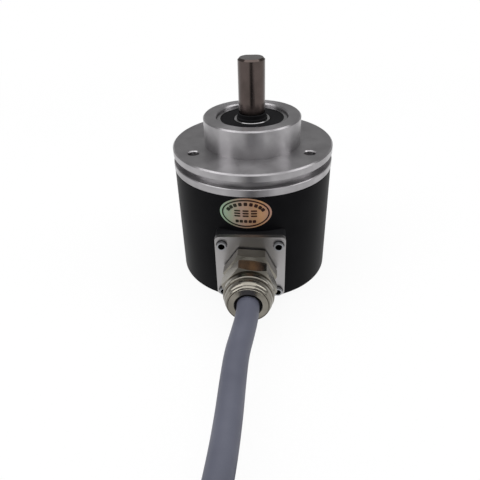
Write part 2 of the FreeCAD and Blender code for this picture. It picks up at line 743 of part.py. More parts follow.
def makeSensor():
    """The lamp above the disc, and the light sensor and reticle below it."""
    bracket = newBody("lamp_bracket")
    half = dim("bracketWide") * 0.5
    outline = [
        ("bracketLeg", -dim("boardTop")),
        ("bracketOuter", -dim("boardTop")),
        ("bracketOuter", -dim("bracketTop")),
        ("bracketInner", -dim("bracketTop")),
        ("bracketInner", -dim("bracketUnder")),
        ("bracketLeg", -dim("bracketUnder")),
    ]
    sketch = newSketch(bracket, "XZ_Plane", (0, 0, -half))
    drawOutline(sketch, outline)
    doc.recompute()
    pad(bracket, sketch, "bracketWide")
    seat = newSketch(bracket, "XY_Plane", (0, 0, -dim("bracketUnder")))
    drawCircles(seat, [("sensorRadius", 0)], dim("lampRadius") + 0.05)
    doc.recompute()
    pocket(bracket, seat, dim("lampHeight"), forwards=True)

    lampLow = -dim("bracketUnder")
    lamp = ring("lamp", 0, "lampRadius", lampLow, lampLow + "lampHeight", shift="sensorRadius")

    half = dim("chipLong") * 0.5
    corner = (dim("sensorRadius") - half, -half, -dim("boardTop"))
    sensor = boxPiece("light_sensor", corner, ("chipLong", "chipLong", "chipHeight"))
    half = dim("reticleLong") * 0.5
    corner = (dim("sensorRadius") - half, -half, -dim("boardTop") + "chipHeight")
    reticle = boxPiece("reticle", corner, ("reticleLong", "reticleLong", "reticleHeight"))
    return [bracket, lamp, sensor, reticle]


headerAcross = -13.0
headerAlong = 1.6
headerLong = 17.0
headerHigh = 5.0
headerPitch = 2.0
plugUnder = 8.5


def makeBoardParts():
    """Parts on the back of the board: line driver, small parts, header and its plug."""
    under = -dim("boardTop") - "boardThick"
    driver = newBody("line_driver_chip")
    sketch = newSketch(driver, "XY_Plane", (0, 0, under))
    drawOutline(sketch, rectangle(10.0, 4.0, (0, 13.0)))
    doc.recompute()
    pad(driver, sketch, 1.7, backwards=True)
    legs = newSketch(driver, "XY_Plane", (0, 0, under))
    for step in range(8):
        drawOutline(legs, rectangle(0.45, 6.0, (-4.4 + 1.257 * step, 13.0)))
    doc.recompute()
    pad(driver, legs, 0.3, backwards=True)

    small = newBody("small_board_parts")
    sketch = newSketch(small, "XY_Plane", (0, 0, under))
    for x, y in ((10.5, 8.5), (13.5, 8.5), (10.5, 5.5), (13.5, 5.5), (10.5, -5.0), (13.5, -5.0), (16.5, 0.0)):
        drawOutline(sketch, rectangle(2.0, 1.25, (x, y)))
    doc.recompute()
    pad(small, sketch, 0.9, backwards=True)

    header = newBody("board_header")
    sketch = newSketch(header, "XY_Plane", (0, 0, under))
    drawOutline(sketch, rectangle(5.0, headerLong, (headerAcross, headerAlong)))
    doc.recompute()
    pad(header, sketch, headerHigh, backwards=True)

    plug = newBody("wire_plug")
    sketch = newSketch(plug, "XY_Plane", (0, 0, under - headerHigh))
    drawOutline(sketch, rectangle(4.4, headerLong - 1.0, (headerAcross, headerAlong)))
    doc.recompute()
    pad(plug, sketch, plugUnder - headerHigh, backwards=True)
    return [driver, small, header, plug]


def makeStandoffs():
    """Two rows of brass standoffs carry the board and take the cover's screws."""
    radius = dim("standoffRadius")
    stud = dim("screwRadius")
    front = turned("front_standoffs", [
        (0, -dim("boardTop") - "studDown"),
        (stud, -dim("boardTop") - "studDown"),
        (stud, -dim("boardTop")),
        (radius, -dim("boardTop")),
        (radius, -dim("spigotEnd")),
        (stud, -dim("spigotEnd")),
        (stud, -dim("spigotEnd") + "studUp"),
        (0, -dim("spigotEnd") + "studUp"),
    ], shift="standoffPitch", plane="YZ_Plane")
    polar(front, front.Tip, 3)
    floor = -dim("coverEnd") + "coverFloor"
    under = -dim("boardTop") - "boardThick"
    rear = ring("rear_standoffs", stud, radius, floor, under, shift="standoffPitch", plane="YZ_Plane")
    polar(rear, rear.Tip, 3)
    return [front, rear]


# ---------------------------------------------------------------- rear cover


def makeCover():
    end = -dim("coverEnd")
    floor = end + "coverFloor"
    edge = dim("coverEdge")
    mouth = -dim("flangeThick")
    body = turned("rear_cover", [
        (dim("coverInner") + "grooveBreak", mouth),
        (dim("coverRadius") - "grooveBreak", mouth),
        ("coverRadius", mouth - "grooveBreak"),
        ("coverRadius", end + edge),
        (dim("coverRadius") - edge, end),
        (0, end),
        (0, floor),
        ("coverInner", floor),
        ("coverInner", mouth - "grooveBreak"),
    ])
    side = newSketch(body, "XZ_Plane", (0, "glandMid", 0))
    drawCircles(side, [(0, 0)], "glandHole")
    doc.recompute()
    pocket(body, side, dim("coverRadius") * 1.2, forwards=True)
    taps = newSketch(body, "XZ_Plane")
    drawCircles(taps, plateScrewPlaces(), "plateScrewRadius")
    doc.recompute()
    pocket(body, taps, dim("coverRadius") * 1.2, forwards=True)
    heads = newSketch(body, "XY_Plane", (0, 0, end))
    drawCircles(heads, [(0, "standoffPitch")], "screwPocketRadius")
    doc.recompute()
    polar(body, pocket(body, heads, "screwPocketDepth", forwards=True), 3)
    shanks = newSketch(body, "XY_Plane", (0, 0, end))
    drawCircles(shanks, [(0, "standoffPitch")], "screwHole")
    doc.recompute()
    polar(body, pocket(body, shanks, "coverFloor", forwards=True), 3)
    return body


def makeCoverFittings():
    seat = -dim("coverEnd") + "screwPocketDepth"
    head = dim("screwHeadRadius")
    bottom = seat - "screwHeadHeight"
    screws = turned("cover_screws", [
        (0, bottom),
        (head - 0.3, bottom),
        (head, bottom + 0.3),
        (head, seat),
        ("screwRadius", seat),
        ("screwRadius", seat + "screwLength"),
        (0, seat + "screwLength"),
    ], shift="standoffPitch", plane="YZ_Plane")
    polar(screws, screws.Tip, 3)
    drive = newSketch(screws, "XY_Plane", (0, 0, bottom))
    for angle in (90, 210, 330):
        turn = math.radians(angle)
        centre = (dim("standoffPitch") * math.cos(turn), dim("standoffPitch") * math.sin(turn))
        drawOutline(drive, hexagon("screwDrive", 0, centre))
    doc.recompute()
    pocket(screws, drive, dim("screwHeadHeight") * 0.6, forwards=True)

    seal = doc.addObject("Part::Torus", "cover_o_ring")
    bind(seal, "Radius1", dim("oRingGrooveRadius") + "oRingSection" + 0.02)
    bind(seal, "Radius2", "oRingSection")
    bind(seal, "Placement.Base.z", -dim("oRingGrooveMid"))
    return [screws, seal]


# ---------------------------------------------------------------- gland plate


def plateScrewPlaces():
    """The four plate screws, as (x, height)."""
    places = []
    for across in (-1, 1):
        for rise in (-1, 1):
            x = dim("plateScrewSide") * across
            height = dim("plateScrewMid") + dim("plateScrewRise") * rise
            places.append((x, height))
    return places


def plateHoles():
    """The holes for the gland and the screws, through the plate and its saddle."""
    clearance = dim("plateScrewRadius") + 0.1
    return [([(0, "glandMid")], "glandHole"), (plateScrewPlaces(), clearance)]


def uprightCorner(edge):
    """True for an edge that runs along Y at a corner of the plate's outline."""
    first, last = edge.Vertexes[0].Point, edge.Vertexes[-1].Point
    alongY = abs(first.x - last.x) < 1e-6 and abs(first.z - last.z) < 1e-6
    return alongY and abs(abs(first.x) - number("plateWide") / 2) < 1e-6


def makePlate():
    back = dim("plateFront") - "plateThick"
    body = newBody("gland_plate")
    sketch = newSketch(body, "XZ_Plane", (0, 0, back))
    drawOutline(sketch, rectangle("plateWide", "plateHigh", (0, "plateMid")))
    doc.recompute()
    pad(body, sketch, "plateThick")
    roundEdges(body, "plateCorner", uprightCorner)
    for places, radius in plateHoles():
        sketch = newSketch(body, "XZ_Plane", (0, 0, back))
        drawCircles(sketch, places, radius)
        doc.recompute()
        pocket(body, sketch, "plateThick", forwards=True)
    sketch = newSketch(body, "XZ_Plane", (0, 0, "plateFront"))
    drawCircles(sketch, plateScrewPlaces(), "plateBore")
    doc.recompute()
    pocket(body, sketch, "plateBoreDeep")
    return body


def makeGasket():
    """The rubber saddle that fills the space between the flat plate and the round cover."""
    back = dim("plateFront") - "plateThick"
    body = newBody("gland_gasket")
    sketch = newSketch(body, "XZ_Plane", (0, 0, back))
    drawOutline(sketch, rectangle("plateWide", "plateHigh", (0, "plateMid")))
    doc.recompute()
    pad(body, sketch, dim("plateFront") * 0.5, backwards=True)
    roundEdges(body, "plateCorner", uprightCorner)
    for places, radius in plateHoles():
        sketch = newSketch(body, "XZ_Plane", (0, 0, back))
        drawCircles(sketch, places, radius)
        doc.recompute()
        pocket(body, sketch, dim("plateFront") * 0.6)
    hollow = newSketch(body, "XY_Plane")
    drawCircles(hollow, [(0, 0)], "coverRadius")
    doc.recompute()
    pocket(body, hollow, 60)
    return body


def makePlateScrews():
    """Four socket-head screws through the plate and the saddle into the cover."""
    body = newBody("plate_screws")
    top = dim("plateFront") + "plateHeadProud"
    seat = top - "plateHeadTall"
    end = seat - "plateScrewLong"
    for start, length, radius in (
        (end, "plateScrewLong", "plateScrewRadius"),
        (seat, dim("plateHeadTall") - 0.15, "plateScrewHead"),
        (seat, "plateHeadTall", dim("plateScrewHead") - 0.15),
    ):
        sketch = newSketch(body, "XZ_Plane", (0, 0, start))
        drawCircles(sketch, plateScrewPlaces(), radius)
        doc.recompute()
        pad(body, sketch, length)
    sockets = newSketch(body, "XZ_Plane", (0, 0, top))
    for place in plateScrewPlaces():
        drawOutline(sockets, hexagon("plateSocket", 0, place))
    doc.recompute()
    pocket(body, sockets, "plateSocketDeep")
    return body


# ---------------------------------------------------------------- cable gland


def makeGland():
    """A metal cable gland: body, washer, lock nut, clamping claw, seal and cap nut."""
    hexBack = dim("plateFront") + "washerThick"
    hexFront = hexBack + "hexLong"
    corner = dim("hexFlats") * (1 / math.sqrt(3))
    body = turnedAcross("gland_body", [
        ("glandInnerEnd", "glandBore"),
        ("glandInnerEnd", dim("glandThread") - 0.3),
        (dim("glandInnerEnd") + 0.3, "glandThread"),
        (hexBack, "glandThread"),
        (hexBack, corner + 0.1),
        (hexFront - "nutChamfer", corner + 0.1),
        (hexFront, dim("hexFlats") * 0.5 - 0.05),
        (hexFront + "shoulderLong", "shoulderEnd"),
        (hexFront + "shoulderLong", "neckRadius"),
        ("neckEnd", "neckRadius"),
        ("neckEnd", "insertBore"),
        ("insertFrom", "insertBore"),
        ("insertFrom", "glandBore"),
    ])
    cutOutsideHexagon(body, "hexFlats", -number("hexTilt"))

    washer = turnedAcross("gland_washer", [
        ("plateFront", "glandHole"), (hexBack, "glandHole"),
        (hexBack, "washerWide"), ("plateFront", "washerWide"),
    ])

    nutInner = dim("lockNutFrom") - "lockNutThick"
    nutCorner = dim("lockNutFlats") * (1 / math.sqrt(3))
    nut = turnedAcross("gland_lock_nut", [
        (nutInner, "glandThread"), (nutInner, nutCorner - 0.6),
        (nutInner + 0.4, nutCorner), ("lockNutFrom", nutCorner), ("lockNutFrom", "glandThread"),
    ])
    cutOutsideHexagon(nut, "lockNutFlats", 0)

    inset = dim("insertFrom") + 0.1
    claw = turnedAcross("gland_claw", [
        (inset, "clawInner"), ("clawEnd", "clawInner"),
        ("clawEnd", dim("insertBore") - 0.05), (inset, dim("insertBore") - 0.05),
    ])
    seal = turnedAcross("gland_seal", [
        (inset, "sealBore"), (inset, dim("clawInner") - 0.05),
        ("clawEnd", dim("clawInner") - 0.05), (dim("clawEnd") + 0.8, "sealNose"),
        ("sealNoseEnd", "sealNose"), ("sealNoseEnd", "sealBore"),
    ])

    thread = dim("neckRadius") + 0.05
    capCorner = dim("capFlats") * (1 / math.sqrt(3))
    hexEdge = dim("capFlats") * 0.5 - 0.15
    cap = turnedAcross("gland_cap_nut", [
        ("capBack", thread),
        ("capBack", hexEdge),
        (dim("capBack") + "nutChamfer", capCorner),
        (dim("capHexEnd") - "nutChamfer", capCorner),
        ("capHexEnd", hexEdge),
        (dim("capHexEnd") + 0.2, "capGroove"),
        ("capGrooveEnd", "capGroove"),
        (dim("capGrooveEnd") + 0.5, "capRadius"),
        ("capBeadEnd", "capRadius", "capBeadRound", -1),
        (dim("capBeadEnd") + 0.4, dim("capRadius") - 0.4),
        (dim("capBeadEnd") + 0.4, "capNeck"),
        ("capNoseFrom", "capNeck", "capNoseRound", -1),
        ("capNoseEnd", "capRim"),
        (dim("capNoseEnd") + 0.08, dim("capRim") - 0.12),
        (dim("capNoseEnd") + 0.15, "capRim", "capRimRound", -1),
        ("capRimEnd", "capFace"),
        (dim("capRimEnd") - 0.2, dim("capFace") - 0.1),
        (dim("capRimEnd") - 0.2, dim("capFace") - 0.25),
        (dim("capRimEnd") + 0.1, dim("capFace") - 0.4),
        ("capFront", dim("capHole") + 0.25),
        (dim("capFront") - 0.2, "capHole"),
        (dim("clawEnd") + 1.4, "capHole"),
        (dim("clawEnd") + 0.3, thread),
    ])
    cutOutsideHexagon(cap, "capFlats", -number("capTilt"), dim("capHexEnd") + 0.1)
    return [body, washer, nut, claw, seal, cap]


# ---------------------------------------------------------------- round paths for cable and wires


def roundedPath(points, label):
    """Straight runs joined by tangent arcs. Each arc's radius is 0.45 of the shorter of its two
    runs, divided by the tangent of half the turn."""
    points = [V(*point) for point in points]
    edges = []
    start = points[0]
    radii = []
    for before, corner, after in zip(points, points[1:], points[2:]):
        inward = (corner - before)
        outward = (after - corner)
        shorter = min(inward.Length, outward.Length)
        half = inward.getAngle(outward) / 2
        reach = 0.45 * shorter
        radius = reach / math.tan(half)
        inward.normalize()
        outward.normalize()
        arcStart = corner - inward * reach
        arcStop = corner + outward * reach
        toCentre = outward - inward
        toCentre.normalize()
        centre = corner + toCentre * (radius / math.cos(half))
        middle = centre - toCentre * radius
        edges.append(Part.LineSegment(start, arcStart).toShape())
        edges.append(Part.Arc(arcStart, middle, arcStop).toShape())
        radii.append(round(radius, 1))
        start = arcStop
    edges.append(Part.LineSegment(start, points[-1]).toShape())
    print(label, "arc radii", radii)
    return Part.Wire(edges)


def tube(points, radius, label):
    """A round bar along a path, compared with its section times its length."""
    path = roundedPath(points, label)
    direction = V(*points[1]) - V(*points[0])
    circle = Part.Wire([Part.Circle(V(*points[0]), direction, radius).toShape()])
    solid = path.makePipeShell([circle], True, False)
    expected = math.pi * radius ** 2 * path.Length
    print(label, "length", round(path.Length, 1), "volume ratio", round(solid.Volume / expected, 4))
    return solid


# ---------------------------------------------------------------- free cable


def makeCable():
    """The jacketed cable: its clamped end, the free lead, the coil, the tail and its open wires."""
    radius = number("cableRadius")
    level = number("glandMid")
    inner = turnedAcross("cable_inner", [
        ("cableInnerEnd", 0), ("cableInnerEnd", "cableRadius"),
        ("cableSplit", "cableRadius"), ("cableSplit", 0),
    ])

    coilX, coilY = number("coilAcross"), number("coilAlong")
    outerTurn = number("coilOuterTurn")
    floor = -number("coverEnd")
    lowTurn = floor + number("tieThick") + radius
    highTurn = lowTurn + 2 * radius
    leadPoints = [
        (0.0, -number("cableSplit"), level),
        (0.0, -48.5, level),
        (-0.9, -55.0, level - 0.1),
        (-2.1, -62.0, level - 0.35),
        (-2.5, -70.0, level - 0.65),
        (-2.75, -79.0, level - 0.95),
        (-3.4, -89.0, level - 1.3),
        (-4.7, -100.0, level - 1.8),
        (-6.6, -112.5, level - 2.6),
        (-9.1, -127.0, level - 3.7),
        (coilX - outerTurn, coilY, highTurn),
    ]
    lead = shapePiece("cable_lead", tube(leadPoints, radius, "cable_lead"))

    coilLow = lowTurn - radius
    coilHigh = highTurn + radius
    coil = turned("cable_coil", [
        (dim("coilInnerTurn") - "cableRadius", coilLow),
        (dim("coilOuterTurn") + "cableRadius", coilLow),
        (dim("coilOuterTurn") + "cableRadius", coilHigh),
        (dim("coilInnerTurn") - "cableRadius", coilHigh),
    ])
    placeAtCoil(coil)

    tailPoints = []
    for angle, distance, height in tailRoute:
        turn = math.radians(angle)
        x = coilX + distance * math.cos(turn)
        y = coilY + distance * math.sin(turn)
        tailPoints.append((x, y, floor + radius + height))
    tail = shapePiece("cable_tail", tube(tailPoints, radius, "cable_tail"))
    return [inner, lead, coil, tail], tailPoints


# The tail leaves the coil's lower outer turn and lies round its outside: angle about the coil's
# centre in degrees, distance from it, and height above the floor.
tailRoute = [
    (38.0, 38.5, 0.8),
    (54.0, 40.7, 0.6),
    (70.0, 43.5, 0.2),
    (86.0, 45.9, 0.0),
    (102.0, 47.5, 0.0),
]


def makeTies():
    """Two nylon ties round the coil, opposite each other."""
    body = newBody("coil_ties")
    thick = dim("tieThick")
    middle = (dim("coilInnerTurn") + "coilOuterTurn") * 0.5
    radial = dim("coilOuterTurn") - "coilInnerTurn" + dim("cableRadius") * 2 + 0.4
    lowTurn = -dim("coverEnd") + thick + "cableRadius"
    upright = dim("cableRadius") * 4
    centre = (middle, lowTurn + "cableRadius")
    sketch = newSketch(body, "XZ_Plane", (0, 0, dim("tieWide") * -0.5))
    drawOutline(sketch, rectangle(radial + thick * 2, upright + thick * 2, centre))
    drawOutline(sketch, rectangle(radial, upright, centre))
    doc.recompute()
    band = pad(body, sketch, "tieWide")
    head = newSketch(body, "XZ_Plane", (0, 0, dim("tieHead") * -0.5))
    top = lowTurn + dim("cableRadius") * 3 + thick
    drawOutline(head, rectangle("tieHead", "tieHeadHigh", (middle, top + dim("tieHeadHigh") * 0.5 - 0.2)))
    doc.recompute()
    block = pad(body, head, "tieHead")
    pattern = body.newObject("PartDesign::PolarPattern", "coil_ties_round")
    pattern.Originals = [band, block]
    pattern.Axis = (originFeature(body, "Z_Axis"), [""])
    pattern.Angle = 360
    pattern.Occurrences = 2
    body.Tip = pattern
    placeAtCoil(body)
    body.Placement.Rotation = FreeCAD.Rotation(V(0, 0, 1), 10)
    doc.recompute()
    return body


def makeEndWires(tailPoints):
    """The open conductors that fan out on the floor from the cut end of the jacket, and their
    tinned ends."""
    floor = -number("coverEnd")
    radius = number("wireRadius")
    end = V(*tailPoints[-1])
    along = end - V(*tailPoints[-2])
    along.z = 0
    along.normalize()
    side = V(-along.y, along.x, 0)
    wires = []
    tips = []
    inside = number("cableRadius") - 1.2
    flat = floor + radius
    for index in range(wireCount):
        spread = wireFan[index] - (wireCount - 1) / 2
        turn = 2 * math.pi * index / wireCount
        start = end + side * (inside * math.cos(turn)) + V(0, 0, inside * math.sin(turn))
        reach = wireReach[index]
        first = start + along * 5.0 + side * (spread * 0.5)
        first.z = (start.z + flat) / 2 if start.z > flat + 1 else flat + 0.3
        second = end + along * (0.40 * reach) + side * (spread * 1.3)
        third = end + along * (0.72 * reach) + side * (spread * 1.6 + (0.2 if index % 2 else -0.2))
        last = end + along * reach + side * (spread * 1.9)
        for point in (second, third, last):
            point.z = flat
        points = [tuple(p) for p in (start, first, second, third, last)]
        wires.append(tube(points, radius, "end_wire_%d" % (index + 1)))
        heading = last - third
        heading.normalize()
        tips.append(Part.makeCylinder(radius * 0.7, 5.0, last, heading))
    return [
        shapePiece("end_wires", Part.makeCompound(wires)),
        shapePiece("wire_tips", Part.makeCompound(tips)),
    ]


wireCount = 8
wireReach = [29.0, 31.0, 33.0, 30.0, 34.0, 31.0, 33.0, 29.0]
wireFan = [7, 5, 3, 1, 0, 2, 4, 6]  # each one's place across the fan, on the side where it leaves the jacket


def makeInnerWires():
    """The same conductors inside the housing, from the cut jacket to the board's plug."""
    radius = number("wireRadius")
    level = number("glandMid")
    start = -number("cableInnerEnd")
    plugFloor = -number("boardTop") - number("boardThick") - plugUnder
    wires = []
    for index in range(wireCount):
        turn = 2 * math.pi * index / wireCount
        x = 1.8 * math.cos(turn)
        z = level + 1.8 * math.sin(turn)
        y = headerAlong + headerPitch * (index - (wireCount - 1) / 2)
        points = [
            (x, start, z),
            (x - 0.2, start + 4.0, z - 0.5),
            (headerAcross * 0.55, (start + y) / 2 + 1.0, plugFloor - 2.4 + 0.3 * (index % 3)),
            (headerAcross * 0.97, y, plugFloor - 2.8),
            (headerAcross, y, plugFloor),
        ]
        wires.append(tube(points, radius, "inner_wire_%d" % (index + 1)))
    return shapePiece("inner_wires", Part.makeCompound(wires))


# ---------------------------------------------------------------- oval label


def makeLabel():
    """A thin oval foil label on the cover, just under the flange."""
    outer = doc.addObject("Part::Cylinder", "label_outside")
    bind(outer, "Radius", dim("coverRadius") + "labelThick")
    inner = doc.addObject("Part::Cylinder", "label_inside")
    bind(inner, "Radius", "coverRadius")
    for cylinder in (outer, inner):
        bind(cylinder, "Height", "labelHigh")
        bind(cylinder, "Placement.Base.z", dim("labelMid") - dim("labelHigh") * 0.5)
    sleeve = doc.addObject("Part::Cut", "label_sleeve")
    sleeve.Base = outer
    sleeve.Tool = inner
    oval = doc.addObject("Part::Ellipse", "label_oval")
    bind(oval, "MajorRadius", dim("labelWide") * 0.5)
    bind(oval, "MinorRadius", dim("labelHigh") * 0.5)
    bind(oval, "Placement.Base.x", "labelAside")
    bind(oval, "Placement.Base.z", "labelMid")
    oval.Placement.Rotation = FreeCAD.Rotation(V(1, 0, 0), 90)
    prism = doc.addObject("Part::Extrusion", "label_prism")
    prism.Base = oval
    prism.DirMode = "Custom"
    prism.Dir = V(0, -1, 0)
    bind(prism, "LengthFwd", dim("coverRadius") * 1.2)
    prism.Solid = True
    label = doc.addObject("Part::Common", "oval_label")
    label.Base = sleeve
    label.Tool = prism
    doc.recompute()
    return label


# ---------------------------------------------------------------- the whole encoder

pieces = [makeFrontFlange()]
pieces += makeBearing("front", "frontBearingLow")
pieces += makeBearing("rear", "rearBearingLow")
pieces += makeBearingFittings()
pieces += [makeShaft()]
pieces += makeShaftFittings()
pieces += makeDiscAssembly()
pieces += [makeBoard()]
pieces += makeSensor()
pieces += makeBoardParts()
pieces += makeStandoffs()
pieces += [makeCover()]
pieces += makeCoverFittings()
pieces += [makePlate(), makeGasket(), makePlateScrews()]
pieces += makeGland()
cablePieces, tailPoints = makeCable()
pieces += cablePieces
pieces += [makeTies()]
pieces += makeEndWires(tailPoints)
pieces += [makeInnerWires(), makeLabel()]
doc.recompute()

for item in doc.Objects:
    if "Invalid" in item.State or "Error" in item.State:
        raise RuntimeError("%s did not compute: %s" % (item.Label, item.State))
for piece in pieces:
    shape = piece.Shape
    if shape.isNull() or not shape.isValid() or not shape.Solids:
        raise RuntimeError("%s has no valid solid" % piece.Label)
for piece in pieces:
    piece.Shape.exportStep("parts/%s.step" % piece.Label)
print(len(pieces), "nodes written")
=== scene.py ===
import math
import bmesh
import bpy
import numpy as np
from mathutils import Matrix, Vector


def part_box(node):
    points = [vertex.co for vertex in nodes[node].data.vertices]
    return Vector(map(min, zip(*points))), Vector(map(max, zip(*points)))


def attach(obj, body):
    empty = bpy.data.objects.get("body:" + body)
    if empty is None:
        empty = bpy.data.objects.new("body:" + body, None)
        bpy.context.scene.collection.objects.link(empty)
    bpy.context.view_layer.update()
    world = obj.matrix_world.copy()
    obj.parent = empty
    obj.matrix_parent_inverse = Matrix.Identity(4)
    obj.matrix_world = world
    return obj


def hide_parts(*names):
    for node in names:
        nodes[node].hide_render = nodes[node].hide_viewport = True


# A solid-shaft rotary encoder on a plain pale floor. Metres, +Z up the shaft, the cable leaves towards -Y.

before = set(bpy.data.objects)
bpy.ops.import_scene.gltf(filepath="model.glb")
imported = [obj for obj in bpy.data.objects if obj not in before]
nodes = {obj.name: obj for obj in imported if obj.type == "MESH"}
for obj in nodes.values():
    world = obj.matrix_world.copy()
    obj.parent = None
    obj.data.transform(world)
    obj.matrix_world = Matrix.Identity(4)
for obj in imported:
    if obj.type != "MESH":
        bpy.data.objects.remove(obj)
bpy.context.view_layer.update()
mm = 0.001
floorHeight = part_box("rear_cover")[0].z
print("frame loaded:", len(nodes), "nodes")


def linear(hexCode):  # sRGB hex to the linear colour that the shaders take
    channels = [int(hexCode[i:i + 2], 16) / 255 for i in (0, 2, 4)]
    return tuple(c / 12.92 if c <= 0.04045 else ((c + 0.055) / 1.055) ** 2.4 for c in channels) + (1.0,)


def addPiece(name, data):
    piece = bpy.data.objects.new(name, data)
    bpy.context.scene.collection.objects.link(piece)
    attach(piece, "housing")
    return piece


def addNode(tree, kind, values=None, links=None, **settings):
    # values sets inputs, links joins inputs to (node, output) pairs, and settings are the node's own
    node = tree.nodes.new("ShaderNode" + kind)
    for key, value in settings.items():
        setattr(node, key, value)
    for key, value in (values or {}).items():
        node.inputs[key].default_value = value
    for key, (source, output) in (links or {}).items():
        tree.links.new(source.outputs[output], node.inputs[key])
    return node


# the camera stands in front of the cable and looks down on the flange
cameraSettings = {
    "place": (5.34, -139.0, 55.4),  # mm
    "aside": 4.234,  # degrees that the view turns from +Y towards -X
    "down": 33.81,  # degrees below the horizon
    "roll": -1.91,
    "lens": 34.8,  # mm, on a sensor of this width
    "sensor": 36.0,
    "nearest": 5.0,  # mm, where its view starts
}


def makeCamera(cam):
    aside, down, roll = (math.radians(cam[key]) for key in ("aside", "down", "roll"))
    forward = Vector((-math.sin(aside) * math.cos(down), math.cos(aside) * math.cos(down), -math.sin(down)))
    level = Vector((math.cos(aside), math.sin(aside), 0))
    upright = level.cross(forward)
    right = level * math.cos(roll) + upright * math.sin(roll)
    up = upright * math.cos(roll) - level * math.sin(roll)
    data = bpy.data.cameras.new("camera")
    data.lens = cam["lens"]
    data.sensor_width = cam["sensor"]
    data.clip_start = cam["nearest"] * mm
    data.dof.use_dof = False
    camera = bpy.data.objects.new("camera", data)
    bpy.context.scene.collection.objects.link(camera)
    turn = Matrix((right, up, -forward)).transposed().to_4x4()
    camera.matrix_world = Matrix.Translation(Vector(cam["place"]) * mm) @ turn
    bpy.context.scene.camera = camera


makeCamera(cameraSettings)
print("camera set")


# the free cable: out of the gland, down on to its coil, round it and out at the end
cable = {
    "diameter": 6.2,  # mm
    "length": 0.942,  # metres, from the gland's mouth to the cut end of the jacket
    "lead": [  # mm, from the gland to where the cable comes down on the coil
        (0.0, -43.5, -29.0),
        (0.0, -48.5, -29.0),
        (-0.9, -55.0, -29.1),
        (-2.1, -62.0, -29.35),
        (-2.5, -70.0, -29.65),
        (-2.75, -79.0, -29.95),
        (-3.4, -89.0, -30.3),
        (-4.7, -100.0, -30.8),
        (-6.6, -112.5, -31.6),
        (-9.1, -127.0, -32.7),
    ],
    "coilCentre": (26.5, -143.0),
    "outerTurn": 38.5,
    "innerTurn": 32.3,
    "lowTurn": 3.9,  # the lower turns' centre above the floor, on the ties
    "turnPoints": 24,  # points in each turn
    "coilAngle": 1298.0,  # degrees wound, anticlockwise from the cable's arrival on the -X side
    "inward": (270, 330),  # degrees wound between which the cable moves in, down and out again
    "sunk": (660, 720),
    "outward": (960, 1010),
    "tail": [  # angle about the coil's centre, distance from it, height above the floor
        (54.0, 40.7, 3.7),
        (70.0, 43.5, 3.3),
        (86.0, 45.9, 3.1),
        (102.0, 47.5, 3.1),
    ],
}


def easeBetween(angle, start, stop):  # 0 before start, 1 after stop, smooth between
    t = min(max((angle - start) / (stop - start), 0.0), 1.0)
    return t * t * (3 - 2 * t)


def aroundCoil(c, angle, distance, height):
    turn = math.radians(angle)
    x = c["coilCentre"][0] + distance * math.cos(turn)
    y = c["coilCentre"][1] + distance * math.sin(turn)
    return (x, y, floorHeight / mm + height)


def coilPoint(c, wound):
    # the outer turn above, then the inner turn above, the inner turn below it and the outer turn below
    inward, sunk, outward = (easeBetween(wound, *c[move]) for move in ("inward", "sunk", "outward"))
    distance = c["outerTurn"] + (c["innerTurn"] - c["outerTurn"]) * (inward - outward)
    return aroundCoil(c, 180 + wound, distance, c["lowTurn"] + c["diameter"] * (1 - sunk))


def cablePoints(c):
    steps = round(c["coilAngle"] * c["turnPoints"] / 360)
    coil = [coilPoint(c, c["coilAngle"] * i / steps) for i in range(steps + 1)]
    return c["lead"] + coil + [aroundCoil(c, *place) for place in c["tail"]]


cordDetail = {"along": 8, "around": 8}  # steps between two control points, and in half the section


def makeRoundCord(name, routes, diameter):
    # each route is a smooth round cord with its points in mm as control points
    curve = bpy.data.curves.new(name, "CURVE")
    curve.dimensions = "3D"
    for points in routes:
        spline = curve.splines.new("NURBS")
        spline.points.add(len(points) - 1)
        for point, place in zip(spline.points, points):
            point.co = (place[0] * mm, place[1] * mm, place[2] * mm, 1)
        spline.order_u = 3
        spline.use_endpoint_u = True
        spline.resolution_u = cordDetail["along"]
    curve.bevel_depth = diameter / 2 * mm
    curve.bevel_resolution = cordDetail["around"]
    curve.use_fill_caps = True
    return curve


cableCurve = makeRoundCord("cable_free", [cablePoints(cable)], cable["diameter"])
cablePiece = addPiece("cable_free", cableCurve)
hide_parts("cable_lead", "cable_coil", "cable_tail")

# the open conductors fan out on the floor from the cut jacket, each in its own colour
endWires = {
    "diameter": 1.0,  # mm
    "reach": [29.0, 31.0, 33.0, 30.0, 34.0, 31.0, 33.0, 29.0],  # mm
    "fan": [7, 5, 3, 1, 0, 2, 4, 6],  # each one's place across the fan, on the side where it leaves
    "inset": 1.2,  # mm from the jacket's outside to the ring of the conductors' middles
    "straight": 5.0,  # mm from the cut to the first bend
    "shares": (0.40, 0.72, 1.0),  # of the reach, at the three points that lie on the floor
    "steps": (0.5, 1.3, 1.6, 1.9),  # mm between neighbours, at the first bend and at those points
    "stagger": 0.2,  # mm by which every other one leans aside at the middle point
    "colours": ["8e2320", "1c1c1e", "2f6b3c", "c9c6be", "c9a227", "5a3622", "6f7278", "27508f"],
    "names": ["red", "black", "green", "white", "yellow", "brown", "grey", "blue"],
}


